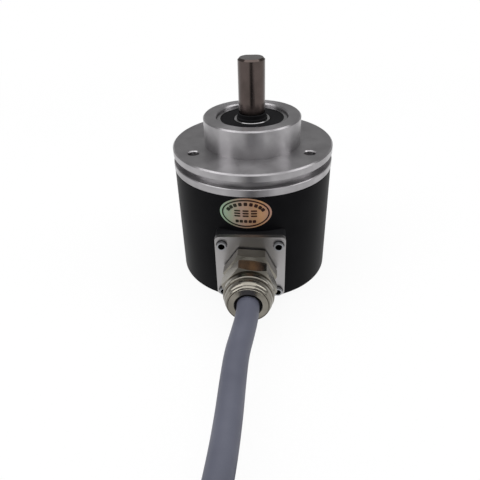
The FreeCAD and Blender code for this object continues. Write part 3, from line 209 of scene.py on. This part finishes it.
def wireRoutes(w, c):
    end, before = (Vector(aroundCoil(c, *place)) for place in (c["tail"][-1], c["tail"][-2]))
    along = (end - before).normalized()
    along.z = 0
    side = Vector((-along.y, along.x, 0))
    flat = floorHeight / mm + w["diameter"] / 2
    inside = c["diameter"] / 2 - w["inset"]
    count = len(w["reach"])
    routes = []
    for index, reach in enumerate(w["reach"]):
        spread = w["fan"][index] - (count - 1) / 2
        turn = 2 * math.pi * index / count
        start = end + side * (inside * math.cos(turn)) + Vector((0, 0, inside * math.sin(turn)))
        first = start + along * w["straight"] + side * (spread * w["steps"][0])
        first.z = (start.z + flat) / 2 if start.z > flat + 1 else flat + 0.3  # halfway down, or just clear
        lean = w["stagger"] if index % 2 else -w["stagger"]
        lying = []
        for share, step, aside in zip(w["shares"], w["steps"][1:], (0, lean, 0)):
            point = end + along * (share * reach) + side * (spread * step + aside)
            point.z = flat
            lying.append(point)
        routes.append([tuple(point) for point in (start, first, *lying)])
    return routes


wireCurve = makeRoundCord("end_wires_free", wireRoutes(endWires, cable), endWires["diameter"])
wiresPiece = addPiece("end_wires_free", wireCurve)
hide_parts("end_wires")
print("cable and wires laid")


def joinedMesh(name, parts):
    # parts are (places in mm, faces as point numbers); every part is a closed shell, turned outwards here
    places, faces, start = [], [], 0
    for points, polygons in parts:
        places.append(points * mm)
        faces += [[start + corner for corner in polygon] for polygon in polygons]
        start += len(points)
    mesh = bpy.data.meshes.new(name)
    mesh.from_pydata(np.concatenate(places).tolist(), [], faces)
    shell = bmesh.new()
    shell.from_mesh(mesh)
    bmesh.ops.recalc_face_normals(shell, faces=shell.faces)
    shell.to_mesh(mesh)
    shell.free()
    return mesh


def gridQuads(rows, columns, closeRows=False, closeColumns=False):
    # quads between neighbouring rows and columns of a grid of points, round the seam where it is closed
    row = np.arange(rows if closeRows else rows - 1)[:, None]
    column = np.arange(columns if closeColumns else columns - 1)[None, :]
    nextRow, nextColumn = (row + 1) % rows, (column + 1) % columns
    corners = [
        row * columns + column, row * columns + nextColumn,
        nextRow * columns + nextColumn, nextRow * columns + column,
    ]
    return np.stack(corners, axis=-1).reshape(-1, 4).tolist()


def cappedRings(rings):
    # rings of points joined by quads, with a fan of triangles round a middle point at each end
    rows, columns = rings.shape[:2]
    middles = [rings[0].mean(axis=0), rings[-1].mean(axis=0)]
    points = np.concatenate([rings.reshape(-1, 3), middles])
    here = np.arange(columns)
    after = (here + 1) % columns
    fans = []
    for middle, first in ((rows * columns, 0), (rows * columns + 1, (rows - 1) * columns)):
        fans += np.stack([np.full(columns, middle), first + here, first + after], axis=-1).tolist()
    return points, gridQuads(rows, columns, closeColumns=True) + fans


def roundedOutline(halfWide, halfHigh, corner, steps):
    # a rectangle with round corners: each corner's middle plus a quarter circle of steps points
    swing = np.linspace(0, math.pi / 2, steps)[None, :] + np.arange(4)[:, None] * math.pi / 2
    out = np.stack([np.cos(swing), np.sin(swing)], axis=-1)
    signs = np.array([(1, 1), (-1, 1), (-1, -1), (1, -1)])[:, None, :]
    middle = signs * (halfWide - corner, halfHigh - corner)
    return (middle + out * corner).reshape(-1, 2), out.reshape(-1, 2)


# two ties round the coil: a strap that hugs the four turns, its head, and its cut end
coilTie = {
    "wide": 3.6,  # mm, along the cable
    "thick": 0.8,
    "bearing": 10.0,  # degrees from +X about the coil's centre; the other tie is opposite
    "corner": 0.25,  # the strap's own edges
    "head": (5.2, 3.0, 5.2),  # outward, up, along
    "headCorner": 0.7,
    "headSink": 0.5,  # how far the head sits down over the strap
    "end": (5.0, 0.8, 3.0),
    "endRound": 0.4,  # its edges, as a share of its thickness
    "endTuck": 0.6,  # how far the cut end reaches into the head
    "endRise": 0.9,  # its middle above the strap
    "bendSteps": 9,  # points in a quarter turn of the strap, of its own edges, and of a block's edges
    "cornerSteps": 4,
    "blockSteps": (4, 5),
}


def strapLoop(t, turns):
    # the strap's flat section carried round the bundle: outward and up along the outline's own direction
    half = turns + t["thick"] / 2
    path, out = roundedOutline(half, half, turns / 2 + t["thick"] / 2, t["bendSteps"])
    section = roundedOutline(t["thick"] / 2, t["wide"] / 2, t["corner"], t["cornerSteps"])[0]
    place = path[:, None, :] + out[:, None, :] * section[None, :, :1]
    along = np.broadcast_to(section[None, :, 1:], place.shape[:2] + (1,))
    points = np.concatenate([place, along], axis=2).reshape(-1, 3)
    return points, gridQuads(len(path), len(section), True, True)


def softBlock(size, corner, middle, steps):
    # a block with every edge round: one rounded outline at heights that follow a quarter circle inwards
    bend = np.linspace(0, math.pi / 2, steps[0])
    inset = corner * (1 - np.concatenate([np.sin(bend), np.sin(bend[::-1])]))
    rise = size[1] / 2 - corner * (1 - np.cos(bend))
    height = np.concatenate([-rise, rise[::-1]])
    outline, out = roundedOutline(size[0] / 2, size[2] / 2, corner, steps[1])
    flat = outline[None] - out[None] * inset[:, None, None]
    level = np.broadcast_to(height[:, None, None], flat.shape[:2] + (1,))
    rings = np.concatenate([flat[..., :1], level, flat[..., 1:]], axis=2)
    points, faces = cappedRings(rings)
    return points + middle, faces


def makeTies(t, c):
    turns = c["diameter"]
    top = turns + t["thick"]
    headMiddle = (0, top + t["head"][1] / 2 - t["headSink"], 0)
    endMiddle = (t["head"][0] / 2 + t["end"][0] / 2 - t["endTuck"], top + t["endRise"], 0)
    parts = [
        strapLoop(t, turns),
        softBlock(t["head"], t["headCorner"], headMiddle, t["blockSteps"]),
        softBlock(t["end"], t["end"][1] * t["endRound"], endMiddle, t["blockSteps"]),
    ]
    bundle = (c["outerTurn"] + c["innerTurn"]) / 2
    level = floorHeight / mm + c["lowTurn"] + turns / 2
    placed = []
    for bearing in (t["bearing"], t["bearing"] + 180):
        turn = math.radians(bearing)
        outward = np.array([math.cos(turn), math.sin(turn), 0])
        along = np.array([-math.sin(turn), math.cos(turn), 0])
        centre = np.array([c["coilCentre"][0], c["coilCentre"][1], level]) + outward * bundle
        axes = np.stack([outward, (0, 0, 1), along])
        placed += [(centre + points @ axes, faces) for points, faces in parts]
    return joinedMesh("coil_ties_moulded", placed)


tiesPiece = addPiece("coil_ties_moulded", makeTies(coilTie, cable))
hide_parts("coil_ties")
print("ties made")


# the oval label's print: a ring and plain bars where a real label has words
labelLow, labelHigh = (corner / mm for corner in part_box("oval_label"))
labelPrint = {
    "middle": ((labelLow.x + labelHigh.x) / 2, (labelLow.z + labelHigh.z) / 2),  # mm, x and z
    "faceRadius": -labelLow.y,
    "inkThick": 0.03,
    "ring": (6.7, 4.25),  # the ring's half width and half height
    "ringLine": 0.46,
    "ringSteps": 120,
    "barCorner": 0.25,  # of the bar's smaller side
    "barSteps": 13,
    "arcBars": {"count": 9, "from": 158.0, "to": 22.0, "across": (5.35, 3.05), "size": (1.05, 1.1)},
    "middleBars": {"columns": (-2.4, 0.0, 2.4), "rows": (0.85, 0.0, -0.85), "size": (1.8, 0.5)},
    "lowBars": {"columns": (-2.5, -1.3, 0.0, 1.3, 2.5), "row": -2.6, "size": (1.0, 0.95)},
}


def ontoLabel(p, x, z, depth):
    # places seen along Y on to the label's round face, depth above it
    x, z = x + p["middle"][0], z + p["middle"][1]
    return np.stack([x, -np.sqrt((p["faceRadius"] + depth) ** 2 - x ** 2), z], axis=-1)


def printedRing(p):
    # an ellipse with a flat band's section: inside and outside, behind and in front of the label's face
    t = np.linspace(0, 2 * math.pi, p["ringSteps"], endpoint=False)[:, None]
    side = np.array([-0.5, 0.5, 0.5, -0.5]) * p["ringLine"]
    depth = np.array([-1, -1, 1, 1]) * p["inkThick"] + 0 * t
    x = (p["ring"][0] + side) * np.cos(t)
    z = (p["ring"][1] + side) * np.sin(t)
    return ontoLabel(p, x, z, depth).reshape(-1, 3), gridQuads(len(t), 4, True, True)


def printedBar(p, size, x, z, lean=0.0):
    # a bar of ink: a flat section carried along its length, drawn in at the ends by a quarter circle
    corner = min(size) * p["barCorner"]
    s = np.linspace(-0.5, 0.5, p["barSteps"])[:, None] * size[0]
    fromEnd = np.minimum(size[0] / 2 - abs(s), corner)
    half = size[1] / 2 - corner + np.sqrt(corner ** 2 - (corner - fromEnd) ** 2)
    across = np.array([-1, 1, 1, -1]) * half
    depth = np.array([-1, -1, 1, 1]) * p["inkThick"] + 0 * s
    along = s + 0 * across
    turnedX = x + along * math.cos(lean) - across * math.sin(lean)
    turnedZ = z + along * math.sin(lean) + across * math.cos(lean)
    return cappedRings(ontoLabel(p, turnedX, turnedZ, depth))


def makeLabelPrint(p):
    parts = [printedRing(p)]
    arc = p["arcBars"]
    wide, high = arc["across"]
    for turn in np.radians(np.linspace(arc["from"], arc["to"], arc["count"])):
        x, z = wide * math.cos(turn), high * math.sin(turn)
        lean = math.atan2(high * math.cos(turn), -wide * math.sin(turn)) + math.pi
        parts.append(printedBar(p, arc["size"], x, z, lean))
    for x in p["middleBars"]["columns"]:
        for z in p["middleBars"]["rows"]:
            parts.append(printedBar(p, p["middleBars"]["size"], x, z))
    for x in p["lowBars"]["columns"]:
        parts.append(printedBar(p, p["lowBars"]["size"], x, p["lowBars"]["row"]))
    return joinedMesh("label_print", parts)


printPiece = addPiece("label_print", makeLabelPrint(labelPrint))
print("label printed")


# Materials. A turned metal keeps fine rings from the tool, which pull its reflections into streaks across
# them: up and down a round side, and outwards on a face.
turnedMetals = {
    "aluminium_turned": {"colour": "a9a7a9", "dull": "989698", "rough": 0.31, "streak": 0.9, "marks": 0.35},
    "bearing_steel": {"colour": "9e9d9e", "dull": "8e8d8e", "rough": 0.20, "streak": 0.6, "marks": 0.2},
    # the shaft's steel is darker than bare steel; part of that is painted shade, for the dark room in front
    # that it mirrors
    "shaft_steel": {"colour": "5a504d", "dull": "4c4441", "rough": 0.17, "streak": 0.6, "marks": 0.25},
    "spring_steel": {"colour": "5a5a5c", "dull": "4a4a4c", "rough": 0.45, "streak": 0.0, "marks": 0.6},
    "zinc_steel": {"colour": "b4b6ba", "dull": "9fa1a6", "rough": 0.30, "streak": 0.3, "marks": 0.3},
    "screw_steel": {
        "colour": "a2a3a6", "dull": "8f9194", "rough": 0.30, "streak": 0.3, "marks": 0.3,
        # painted shade over the real pockets: near black within this radius of each screw's axis
        "sockets": {"across": 8.3, "height": -29.3, "up": 8.4, "radius": 0.98, "colour": "0a0a0a"},
    },
    "cage_brass": {"colour": "c9a457", "dull": "b08f4a", "rough": 0.35, "streak": 0.0, "marks": 0.5},
    "standoff_brass": {"colour": "cdab62", "dull": "b7954e", "rough": 0.25, "streak": 0.4, "marks": 0.3},
    "nickelled_brass": {
        "colour": "8c887f", "dull": "77736b", "rough": 0.18, "streak": 0.3, "marks": 0.3, "axis": "Y",
    },
    "tinned_copper": {"colour": "c4c2be", "dull": "aeaba6", "rough": 0.40, "streak": 0.0, "marks": 0.3},
    "hub_aluminium": {"colour": "bdbcbe", "dull": "abaaac", "rough": 0.30, "streak": 0.6, "marks": 0.35},
    "disc_steel": {"colour": "aeadae", "dull": "9d9c9d", "rough": 0.25, "streak": 0.0, "marks": 0.4},
}
metalLook = {
    "cloud": 6.0,  # mm, patches of handling marks and thin oxide
    "tones": (0.35, 0.65),  # where in the clouds the dull and the bright tone are reached
    "roughShare": (0.8, 1.25),  # of the metal's own roughness, in and between the rings
    "bump": 0.25,
    "ringDepth": 0.01,  # mm
    "streakTurn": 0.25,  # a quarter turn, so that reflections run across the rings
}
glandHeight = -29.0  # mm, the gland's axis, which its turned rings go round


def newMaterial(name):
    material = bpy.data.materials.new(name)
    material.use_nodes = True
    tree = material.node_tree
    return material, tree, tree.nodes["Principled BSDF"], addNode(tree, "TexCoord")


def addNoise(tree, coords, grain, **values):  # grain in mm
    settings = {"Scale": 1 / (grain * mm)} | values
    return addNode(tree, "TexNoise", settings, {"Vector": (coords, "Object")})


def addRamp(tree, source, stops):
    # source is a (node, output) pair, and stops are (place, linear colour) pairs in rising order
    ramp = addNode(tree, "ValToRGB", links={"Fac": source})
    elements = ramp.color_ramp.elements
    elements[0].position, elements[0].color = stops[0]
    elements[1].position, elements[1].color = stops[-1]
    for place, colour in stops[1:-1]:
        elements.new(place).color = colour
    return ramp


def hexStops(places, colours):
    return [(place, linear(colour)) for place, colour in zip(places, colours)]


def linkColour(tree, shader, node):
    tree.links.new(node.outputs["Color"], shader.inputs["Base Color"])


def linkRough(tree, shader, source, low, high):
    rough = addNode(tree, "MapRange", {"To Min": low, "To Max": high}, {"Value": source})
    tree.links.new(rough.outputs["Result"], shader.inputs["Roughness"])


def linkBump(tree, shader, source, strength, depth):  # depth in mm
    bump = addNode(tree, "Bump", {"Strength": strength, "Distance": depth * mm}, {"Height": source})
    tree.links.new(bump.outputs["Normal"], shader.inputs["Normal"])


def paintedSocketShade(tree, coords, tone, k):
    # painted shade: each screw's hexagon socket is painted near black, at places nearer than the socket's
    # radius to a screw's own axis, as shade down in the pocket
    axes = addNode(tree, "SeparateXYZ", links={"Vector": (coords, "Object")})
    side = addNode(tree, "Math", links={0: (axes, "X")}, operation="ABSOLUTE")
    level = addNode(tree, "Math", {1: -k["height"] * mm}, {0: (axes, "Z")}, operation="ADD")
    rise = addNode(tree, "Math", links={0: (level, "Value")}, operation="ABSOLUTE")
    place = addNode(tree, "CombineXYZ", links={"X": (side, "Value"), "Y": (rise, "Value")})
    axis = (k["across"] * mm, k["up"] * mm, 0)
    away = addNode(tree, "VectorMath", {1: axis}, {0: (place, "Vector")}, operation="DISTANCE")
    inside = addNode(tree, "Math", {1: k["radius"] * mm}, {0: (away, "Value")}, operation="LESS_THAN")
    links = {"Fac": (inside, "Value"), "Color1": (tone, "Color")}
    return addNode(tree, "MixRGB", {"Color2": linear(k["colour"])}, links)


def turnedMetal(name, m, look):
    # the distance from the axis plus the height along it counts the rings, on a face and on a side alike
    material, tree, shader, coords = newMaterial(name)
    axis = m.get("axis", "Z")
    move, turn = ((0, glandHeight * mm, 0), math.pi / 2) if axis == "Y" else ((0, 0, 0), 0)
    upright = addNode(
        tree, "Mapping", {"Location": move, "Rotation": (turn, 0, 0)}, {"Vector": (coords, "Object")},
    )
    flat = addNode(tree, "VectorMath", {1: (1, 1, 0)}, {0: (upright, "Vector")}, operation="MULTIPLY")
    radius = addNode(tree, "VectorMath", links={0: (flat, "Vector")}, operation="LENGTH")
    axes = addNode(tree, "SeparateXYZ", links={"Vector": (upright, "Vector")})
    count = addNode(tree, "Math", links={0: (radius, "Value"), 1: (axes, "Z")}, operation="ADD")
    scale = {"Scale": 1 / (m["marks"] * mm), "Detail": 2.0}
    rings = addNode(tree, "TexNoise", scale, {"W": (count, "Value")}, noise_dimensions="1D")
    cloud = addNoise(tree, coords, look["cloud"], Detail=3.0)
    tone = addRamp(tree, (cloud, "Fac"), hexStops(look["tones"], (m["dull"], m["colour"])))
    # painted shade in each screw's hexagon socket
    if "sockets" in m:
        tone = paintedSocketShade(tree, coords, tone, m["sockets"])
    linkColour(tree, shader, tone)
    low, high = look["roughShare"]
    linkRough(tree, shader, (rings, "Fac"), m["rough"] * low, m["rough"] * high)
    linkBump(tree, shader, (rings, "Fac"), look["bump"], look["ringDepth"])
    shader.inputs["Metallic"].default_value = 1.0
    if m["streak"]:
        shader.inputs["Anisotropic"].default_value = m["streak"]
        shader.inputs["Anisotropic Rotation"].default_value = look["streakTurn"]
        around = addNode(tree, "Tangent", direction_type="RADIAL", axis=axis)
        tree.links.new(around.outputs["Tangent"], shader.inputs["Tangent"])
    return material


# Moulded, extruded and painted pieces: a fine grain in the surface, and a slow change of shade. Grain and
# relief are in mm.
plainFinishes = {
    "nitrile_rubber": {
        "colour": "0f0f11", "other": "18181a", "rough": 0.7, "grain": 0.12, "relief": 0.01, "specular": 0.1,
    },
    "black_coated_cover": {
        "colour": "0c0c0e", "other": "121214", "rough": 0.4, "grain": 0.15, "relief": 0.004,
        "specular": 0.25, "index": 1.15,
    },
    "black_plastic": {"colour": "1d1d1e", "other": "28282a", "rough": 0.50, "grain": 0.2, "relief": 0.01},
    "white_nylon": {"colour": "dfddd4", "other": "d3d0c5", "rough": 0.45, "grain": 0.3, "relief": 0.01},
    "grey_nylon": {"colour": "5a5a5d", "other": "4e4e51", "rough": 0.5, "grain": 0.3, "relief": 0.01},
    "ceramic": {"colour": "a58f75", "other": "8f7a62", "rough": 0.6, "grain": 0.1, "relief": 0.005},
    "cable_jacket": {
        "colour": "5a5c69", "other": "525461", "rough": 0.5, "grain": 0.25, "relief": 0.012,
        "specular": 0.35,
    },
    "tie_nylon": {"colour": "202022", "other": "2b2b2e", "rough": 0.42, "grain": 0.3, "relief": 0.01},
}
plainLook = {
    "cloud": 9.0,  # mm, the slow change of shade
    "grainShare": 0.35,  # how much of the grain shows in the shade
    "tones": (0.5, 0.85),
    "roughShare": (0.85, 1.2),
    "bump": 0.6,
}


def plainFinish(name, m, look):
    material, tree, shader, coords = newMaterial(name)
    grain = addNoise(tree, coords, m["grain"], Detail=3.0, Roughness=0.6)
    cloud = addNoise(tree, coords, look["cloud"], Detail=2.0)
    links = {0: (grain, "Fac"), 2: (cloud, "Fac")}
    mixed = addNode(tree, "Math", {1: look["grainShare"]}, links, operation="MULTIPLY_ADD")
    tone = addRamp(tree, (mixed, "Value"), hexStops(look["tones"], (m["colour"], m["other"])))
    linkColour(tree, shader, tone)
    low, high = look["roughShare"]
    linkRough(tree, shader, (cloud, "Fac"), m["rough"] * low, m["rough"] * high)
    linkBump(tree, shader, (grain, "Fac"), look["bump"], m["relief"])
    shader.inputs["Specular IOR Level"].default_value = m.get("specular", 0.5)
    shader.inputs["IOR"].default_value = m.get("index", 1.5)
    return material


# Nickel-plated steel plate, barrelled: a soft even sheen, with very fine scratches in every direction.
satinPlate = {
    "scratch": 0.25,  # mm
    "tones": ((0.3, 0.7), ("9c9a9a", "a8a6a6")),
    "rough": (0.28, 0.42),
    "bump": 0.3,
    "depth": 0.006,
}


def makePlateSteel(name, m):
    material, tree, shader, coords = newMaterial(name)
    scratches = addNoise(tree, coords, m["scratch"], Detail=5.0, Roughness=0.7)
    linkColour(tree, shader, addRamp(tree, (scratches, "Fac"), hexStops(*m["tones"])))
    linkRough(tree, shader, (scratches, "Fac"), *m["rough"])
    linkBump(tree, shader, (scratches, "Fac"), m["bump"], m["depth"])
    shader.inputs["Metallic"].default_value = 1.0
    return material


def acrossLabel(tree, coords):
    # 0 at the label's left end and 1 at its right end
    axes = addNode(tree, "SeparateXYZ", links={"Vector": (coords, "Object")})
    ends = {"From Min": labelLow.x * mm, "From Max": labelHigh.x * mm}
    return addNode(tree, "MapRange", ends, {"Value": (axes, "X")})


# Iridescent foil: its colour slides from green through tan to orange across it, under a clear film.
labelFoil = {
    "hues": ((0.03, 0.2, 0.42, 0.8, 0.97), ("86a288", "8b947c", "a88c7a", "bf8f62", "a8806c")),
    "facet": 0.35,  # mm
    "facetShare": 0.12,
    "rough": (0.34, 0.5),
    "bump": 0.2,
    "depth": 0.004,
    "metal": 0.35,
    "film": 0.4,
    "filmRough": 0.15,
}


def makeLabelFoil(name, m):
    material, tree, shader, coords = newMaterial(name)
    hues = addRamp(tree, (acrossLabel(tree, coords), "Result"), hexStops(*m["hues"]))
    facets = addNode(tree, "TexVoronoi", {"Scale": 1 / (m["facet"] * mm)}, {"Vector": (coords, "Object")})
    links = {"Color1": (hues, "Color"), "Color2": (facets, "Color")}
    mixed = addNode(tree, "MixRGB", {"Fac": m["facetShare"]}, links, blend_type="MULTIPLY")
    linkColour(tree, shader, mixed)
    linkRough(tree, shader, (facets, "Distance"), *m["rough"])
    linkBump(tree, shader, (facets, "Distance"), m["bump"], m["depth"])
    shader.inputs["Metallic"].default_value = m["metal"]
    shader.inputs["Coat Weight"].default_value = m["film"]
    shader.inputs["Coat Roughness"].default_value = m["filmRough"]
    return material


# Screen-printed ink, dark green on the left side and dark red-brown on the right, nearly matt.
labelInk = {
    "hues": ((0.15, 0.6), ("1f2819", "2c1712")),
    "screen": 0.15,  # mm, the printing screen's mesh
    "rough": (0.36, 0.54),
    "specular": 0.15,
}


def makeLabelInk(name, m):
    material, tree, shader, coords = newMaterial(name)
    linkColour(tree, shader, addRamp(tree, (acrossLabel(tree, coords), "Result"), hexStops(*m["hues"])))
    linkRough(tree, shader, (addNoise(tree, coords, m["screen"]), "Fac"), *m["rough"])
    shader.inputs["Specular IOR Level"].default_value = m["specular"]
    return material


# Glass-fibre board under green solder mask: copper tracks 0.4 mm wide show as a lighter green.
boardLaminate = {
    "mask": ("1f5a34", "1b5230"),
    "copper": "2f7a48",
    "halfTrack": 0.2,  # mm
    "field": (5.0, 1.6),  # mm between tracks, along and across
    "cloud": 1.5,
    "rough": (0.22, 0.38),
    "bump": 0.5,
    "depth": 0.02,
}


def makeBoardLaminate(name, m):
    material, tree, shader, coords = newMaterial(name)
    pattern = {
        "Color1": linear(m["mask"][0]), "Color2": linear(m["mask"][1]), "Mortar": linear(m["copper"]),
        "Scale": 1.0, "Mortar Size": m["halfTrack"] * mm,
        "Brick Width": m["field"][0] * mm, "Row Height": m["field"][1] * mm,
    }
    tracks = addNode(tree, "TexBrick", pattern, {"Vector": (coords, "Object")})
    linkColour(tree, shader, tracks)
    linkRough(tree, shader, (addNoise(tree, coords, m["cloud"], Detail=3.0), "Fac"), *m["rough"])
    linkBump(tree, shader, (tracks, "Fac"), m["bump"], m["depth"])
    return material


# Clear resin and glass, with fine streaks in their tint.
clearPieces = {
    "lamp_resin": {"tint": "d4dadd", "rough": 0.08, "streak": 0.8, "clear": 0.9},
    "reticle_glass": {"tint": "c3d6da", "rough": 0.04, "streak": 0.8, "clear": 0.9},
}


def clearPiece(name, m):
    material, tree, shader, coords = newMaterial(name)
    streaks = addNoise(tree, coords, m["streak"])
    linkColour(tree, shader, addRamp(tree, (streaks, "Fac"), hexStops((0.0, 1.0), (m["tint"], "ffffff"))))
    shader.inputs["Transmission Weight"].default_value = m["clear"]
    shader.inputs["Roughness"].default_value = m["rough"]
    return material


def dimmer(hexCode, share):  # the same hue, with each channel at this share of its value
    return "".join(f"{round(int(hexCode[i:i + 2], 16) * share):02x}" for i in (0, 2, 4))


wirePlastic = {"shade": 0.88, "rough": 0.4, "grain": 0.2, "relief": 0.005}
finishes = {name: turnedMetal(name, m, metalLook) for name, m in turnedMetals.items()}
finishes.update({name: plainFinish(name, m, plainLook) for name, m in plainFinishes.items()})
finishes.update({name: clearPiece(name, m) for name, m in clearPieces.items()})
finishes["plate_steel"] = makePlateSteel("plate_steel", satinPlate)
finishes["label_foil"] = makeLabelFoil("label_foil", labelFoil)
finishes["board_laminate"] = makeBoardLaminate("board_laminate", boardLaminate)
wireFinishes = []
for name, colour in zip(endWires["names"], endWires["colours"]):
    tones = {"colour": colour, "other": dimmer(colour, wirePlastic["shade"])}
    wireFinishes.append(plainFinish("wire_" + name, wirePlastic | tones, plainLook))
finishes["wire_insulation"] = wireFinishes[0]

for name, node in nodes.items():
    for place in node.material_slots:
        place.material = finishes[place.material.name.split(".")[0]]
nodes["plate_screws"].material_slots[0].material = finishes["screw_steel"]
cablePiece.data.materials.append(finishes["cable_jacket"])
tiesPiece.data.materials.append(finishes["tie_nylon"])
printPiece.data.materials.append(makeLabelInk("label_ink", labelInk))
for finish in wireFinishes:
    wiresPiece.data.materials.append(finish)
for number, spline in enumerate(wiresPiece.data.splines):
    spline.material_index = number
for piece in (cablePiece, wiresPiece):
    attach(piece, "housing")  # once more, so that the round cords are measured with their materials on
print("materials made:", len(finishes))


# Studio: a wide soft box overhead, one above in front, one at each side, a grey room and a pale floor, and a
# dark card in front that only shiny surfaces see, a painted dark reflection.
studio = {
    "lamps": {  # bearing in degrees from -Y towards +X, rise, distance and size in metres, radiance
        "overhead": {"bearing": 0, "rise": 90, "away": 0.75, "size": (0.9, 0.9), "shine": 1.6},
        "front": {"bearing": 0, "rise": 48, "away": 0.85, "size": (0.6, 0.35), "shine": 0.7},
        "left": {"bearing": -66, "rise": 35, "away": 0.8, "size": (0.45, 0.7), "shine": 2.2},
        "right": {"bearing": 87, "rise": 35, "away": 0.8, "size": (0.35, 0.7), "shine": 2.3},
    },
    "room": ((0.0, 0.30), (0.5, 0.62), (0.56, 0.45), (0.63, 0.34), (1.0, 0.34)),  # from straight down to up
    "floor": {
        "size": 8.0,  # metres
        "below": 0.02,  # mm under the object
        "colour": "e9e9e9",
        "fibre": 0.6,  # mm
        "rough": 0.9,
        "specular": 0.1,
        "whiteShare": (0.9, 1.0),  # how much of its look is plain white, close by and far away
        "whiteFrom": (0.12, 0.35),  # metres from the object's middle between which that grows
    },
    "card": {  # a sector of a ring on the floor, seen only in shiny surfaces as a painted dark reflection: metres, degrees to each side, and its radiance
        "near": 0.08, "far": 0.45, "full": 3.0, "fades": 22.0, "steps": 25, "above": 0.1, "shade": 0.08,
    },
}


def makeLamp(name, l):
    bearing, rise = math.radians(l["bearing"]), math.radians(l["rise"])
    level = math.cos(rise)
    out = Vector((math.sin(bearing) * level, -math.cos(bearing) * level, math.sin(rise)))
    data = bpy.data.lights.new(name, "AREA")
    data.shape = "RECTANGLE"
    data.size, data.size_y = l["size"]
    data.energy = l["shine"] * math.pi * l["size"][0] * l["size"][1]
    lamp = bpy.data.objects.new(name, data)
    bpy.context.scene.collection.objects.link(lamp)
    facing = out.to_track_quat("Z", "Y").to_matrix().to_4x4()
    lamp.matrix_world = Matrix.Translation(out * l["away"]) @ facing


def makeRoom(levels):
    world = bpy.data.worlds.new("room")
    bpy.context.scene.world = world
    world.use_nodes = True
    tree = world.node_tree
    coords = addNode(tree, "TexCoord")
    axes = addNode(tree, "SeparateXYZ", links={"Vector": (coords, "Generated")})
    height = addNode(tree, "MapRange", {"From Min": -1.0, "From Max": 1.0}, {"Value": (axes, "Z")})
    stops = [(place, (shade, shade, shade, 1)) for place, shade in levels]
    ramp = addRamp(tree, (height, "Result"), stops)
    tree.links.new(ramp.outputs["Color"], tree.nodes["Background"].inputs["Color"])


def shineInstead(tree, surface, share, strength):
    # plain white light in place of this share of the surface
    light = addNode(tree, "Emission", {"Color": (1, 1, 1, 1), "Strength": strength})
    both = addNode(tree, "MixShader", links={0: share, 1: surface, 2: (light, "Emission")})
    tree.links.new(both.outputs["Shader"], tree.nodes["Material Output"].inputs["Surface"])


def floorFinish(f):
    # pale painted board; to the camera and in shiny surfaces most of it is plain white light, which thins
    # the object's shadow on it
    material, tree, shader, coords = newMaterial("floor_board")
    fibre = addNoise(tree, coords, f["fibre"])
    linkColour(tree, shader, addRamp(tree, (fibre, "Fac"), hexStops((0.0, 1.0), (f["colour"], "ffffff"))))
    shader.inputs["Roughness"].default_value = f["rough"]
    shader.inputs["Specular IOR Level"].default_value = f["specular"]
    ray = addNode(tree, "LightPath")
    shinyRays = {0: (ray, "Is Glossy Ray"), 1: (ray, "Is Transmission Ray")}
    shiny = addNode(tree, "Math", links=shinyRays, operation="MAXIMUM")
    seen = addNode(tree, "Math", links={0: (ray, "Is Camera Ray"), 1: (shiny, "Value")}, operation="MAXIMUM")
    away = addNode(tree, "VectorMath", links={0: (coords, "Object")}, operation="LENGTH")
    grows = {
        "From Min": f["whiteFrom"][0], "From Max": f["whiteFrom"][1],
        "To Min": f["whiteShare"][0], "To Max": f["whiteShare"][1],
    }
    plain = addNode(tree, "MapRange", grows, {"Value": (away, "Value")}, interpolation_type="SMOOTHSTEP")
    share = addNode(tree, "Math", links={0: (seen, "Value"), 1: (plain, "Result")}, operation="MULTIPLY")
    shineInstead(tree, (shader, "BSDF"), (share, "Value"), 1.0)
    return material


def paintedReflectionFinish(c):
    # painted reflection: clear but for shiny surfaces, where it is dark up to the full angle and fades out
    # beyond it
    material, tree, shader, coords = newMaterial("painted_reflection_card")
    tree.nodes.remove(shader)
    axes = addNode(tree, "SeparateXYZ", links={"Vector": (coords, "Object")})
    side = addNode(tree, "Math", links={0: (axes, "X")}, operation="ABSOLUTE")
    front = addNode(tree, "Math", {1: -1.0}, {0: (axes, "Y")}, operation="MULTIPLY")
    bearing = addNode(tree, "Math", links={0: (side, "Value"), 1: (front, "Value")}, operation="ARCTAN2")
    falls = {
        "From Min": math.radians(c["full"]), "From Max": math.radians(c["fades"]),
        "To Min": 1.0, "To Max": 0.0,
    }
    dark = addNode(tree, "MapRange", falls, {"Value": (bearing, "Value")}, interpolation_type="SMOOTHSTEP")
    ray = addNode(tree, "LightPath")
    rays = {0: (ray, "Is Glossy Ray"), 1: (dark, "Result")}
    share = addNode(tree, "Math", links=rays, operation="MULTIPLY")
    shineInstead(tree, (addNode(tree, "BsdfTransparent"), "BSDF"), (share, "Value"), c["shade"])
    return material


def addStagePiece(name, places, faces, material):
    mesh = bpy.data.meshes.new(name)
    mesh.from_pydata(places, [], faces)
    mesh.materials.append(material)
    piece = bpy.data.objects.new(name, mesh)
    bpy.context.scene.collection.objects.link(piece)


def makeFloor(f):
    half, level = f["size"] / 2, floorHeight - f["below"] * mm
    places = [(-half, -half, level), (half, -half, level), (half, half, level), (-half, half, level)]
    addStagePiece("floor", places, [(0, 1, 2, 3)], floorFinish(f))


# a dark card that shows only in shiny surfaces: a painted dark reflection in the metals
def makePaintedReflectionCard(c):
    turn = np.radians(np.linspace(-c["fades"], c["fades"], c["steps"]))[:, None]
    away = np.array([c["near"], c["far"]])
    level = np.full((c["steps"], 2), floorHeight + c["above"] * mm)
    places = np.stack([np.sin(turn) * away, -np.cos(turn) * away, level], axis=-1)
    addStagePiece("painted_reflection_card", places.reshape(-1, 3).tolist(), gridQuads(c["steps"], 2), paintedReflectionFinish(c))


for name, lamp in studio["lamps"].items():
    makeLamp(name, lamp)
makeRoom(studio["room"])
makeFloor(studio["floor"])
makePaintedReflectionCard(studio["card"])
bpy.context.scene.view_settings.view_transform = "Standard"
print("studio lit")
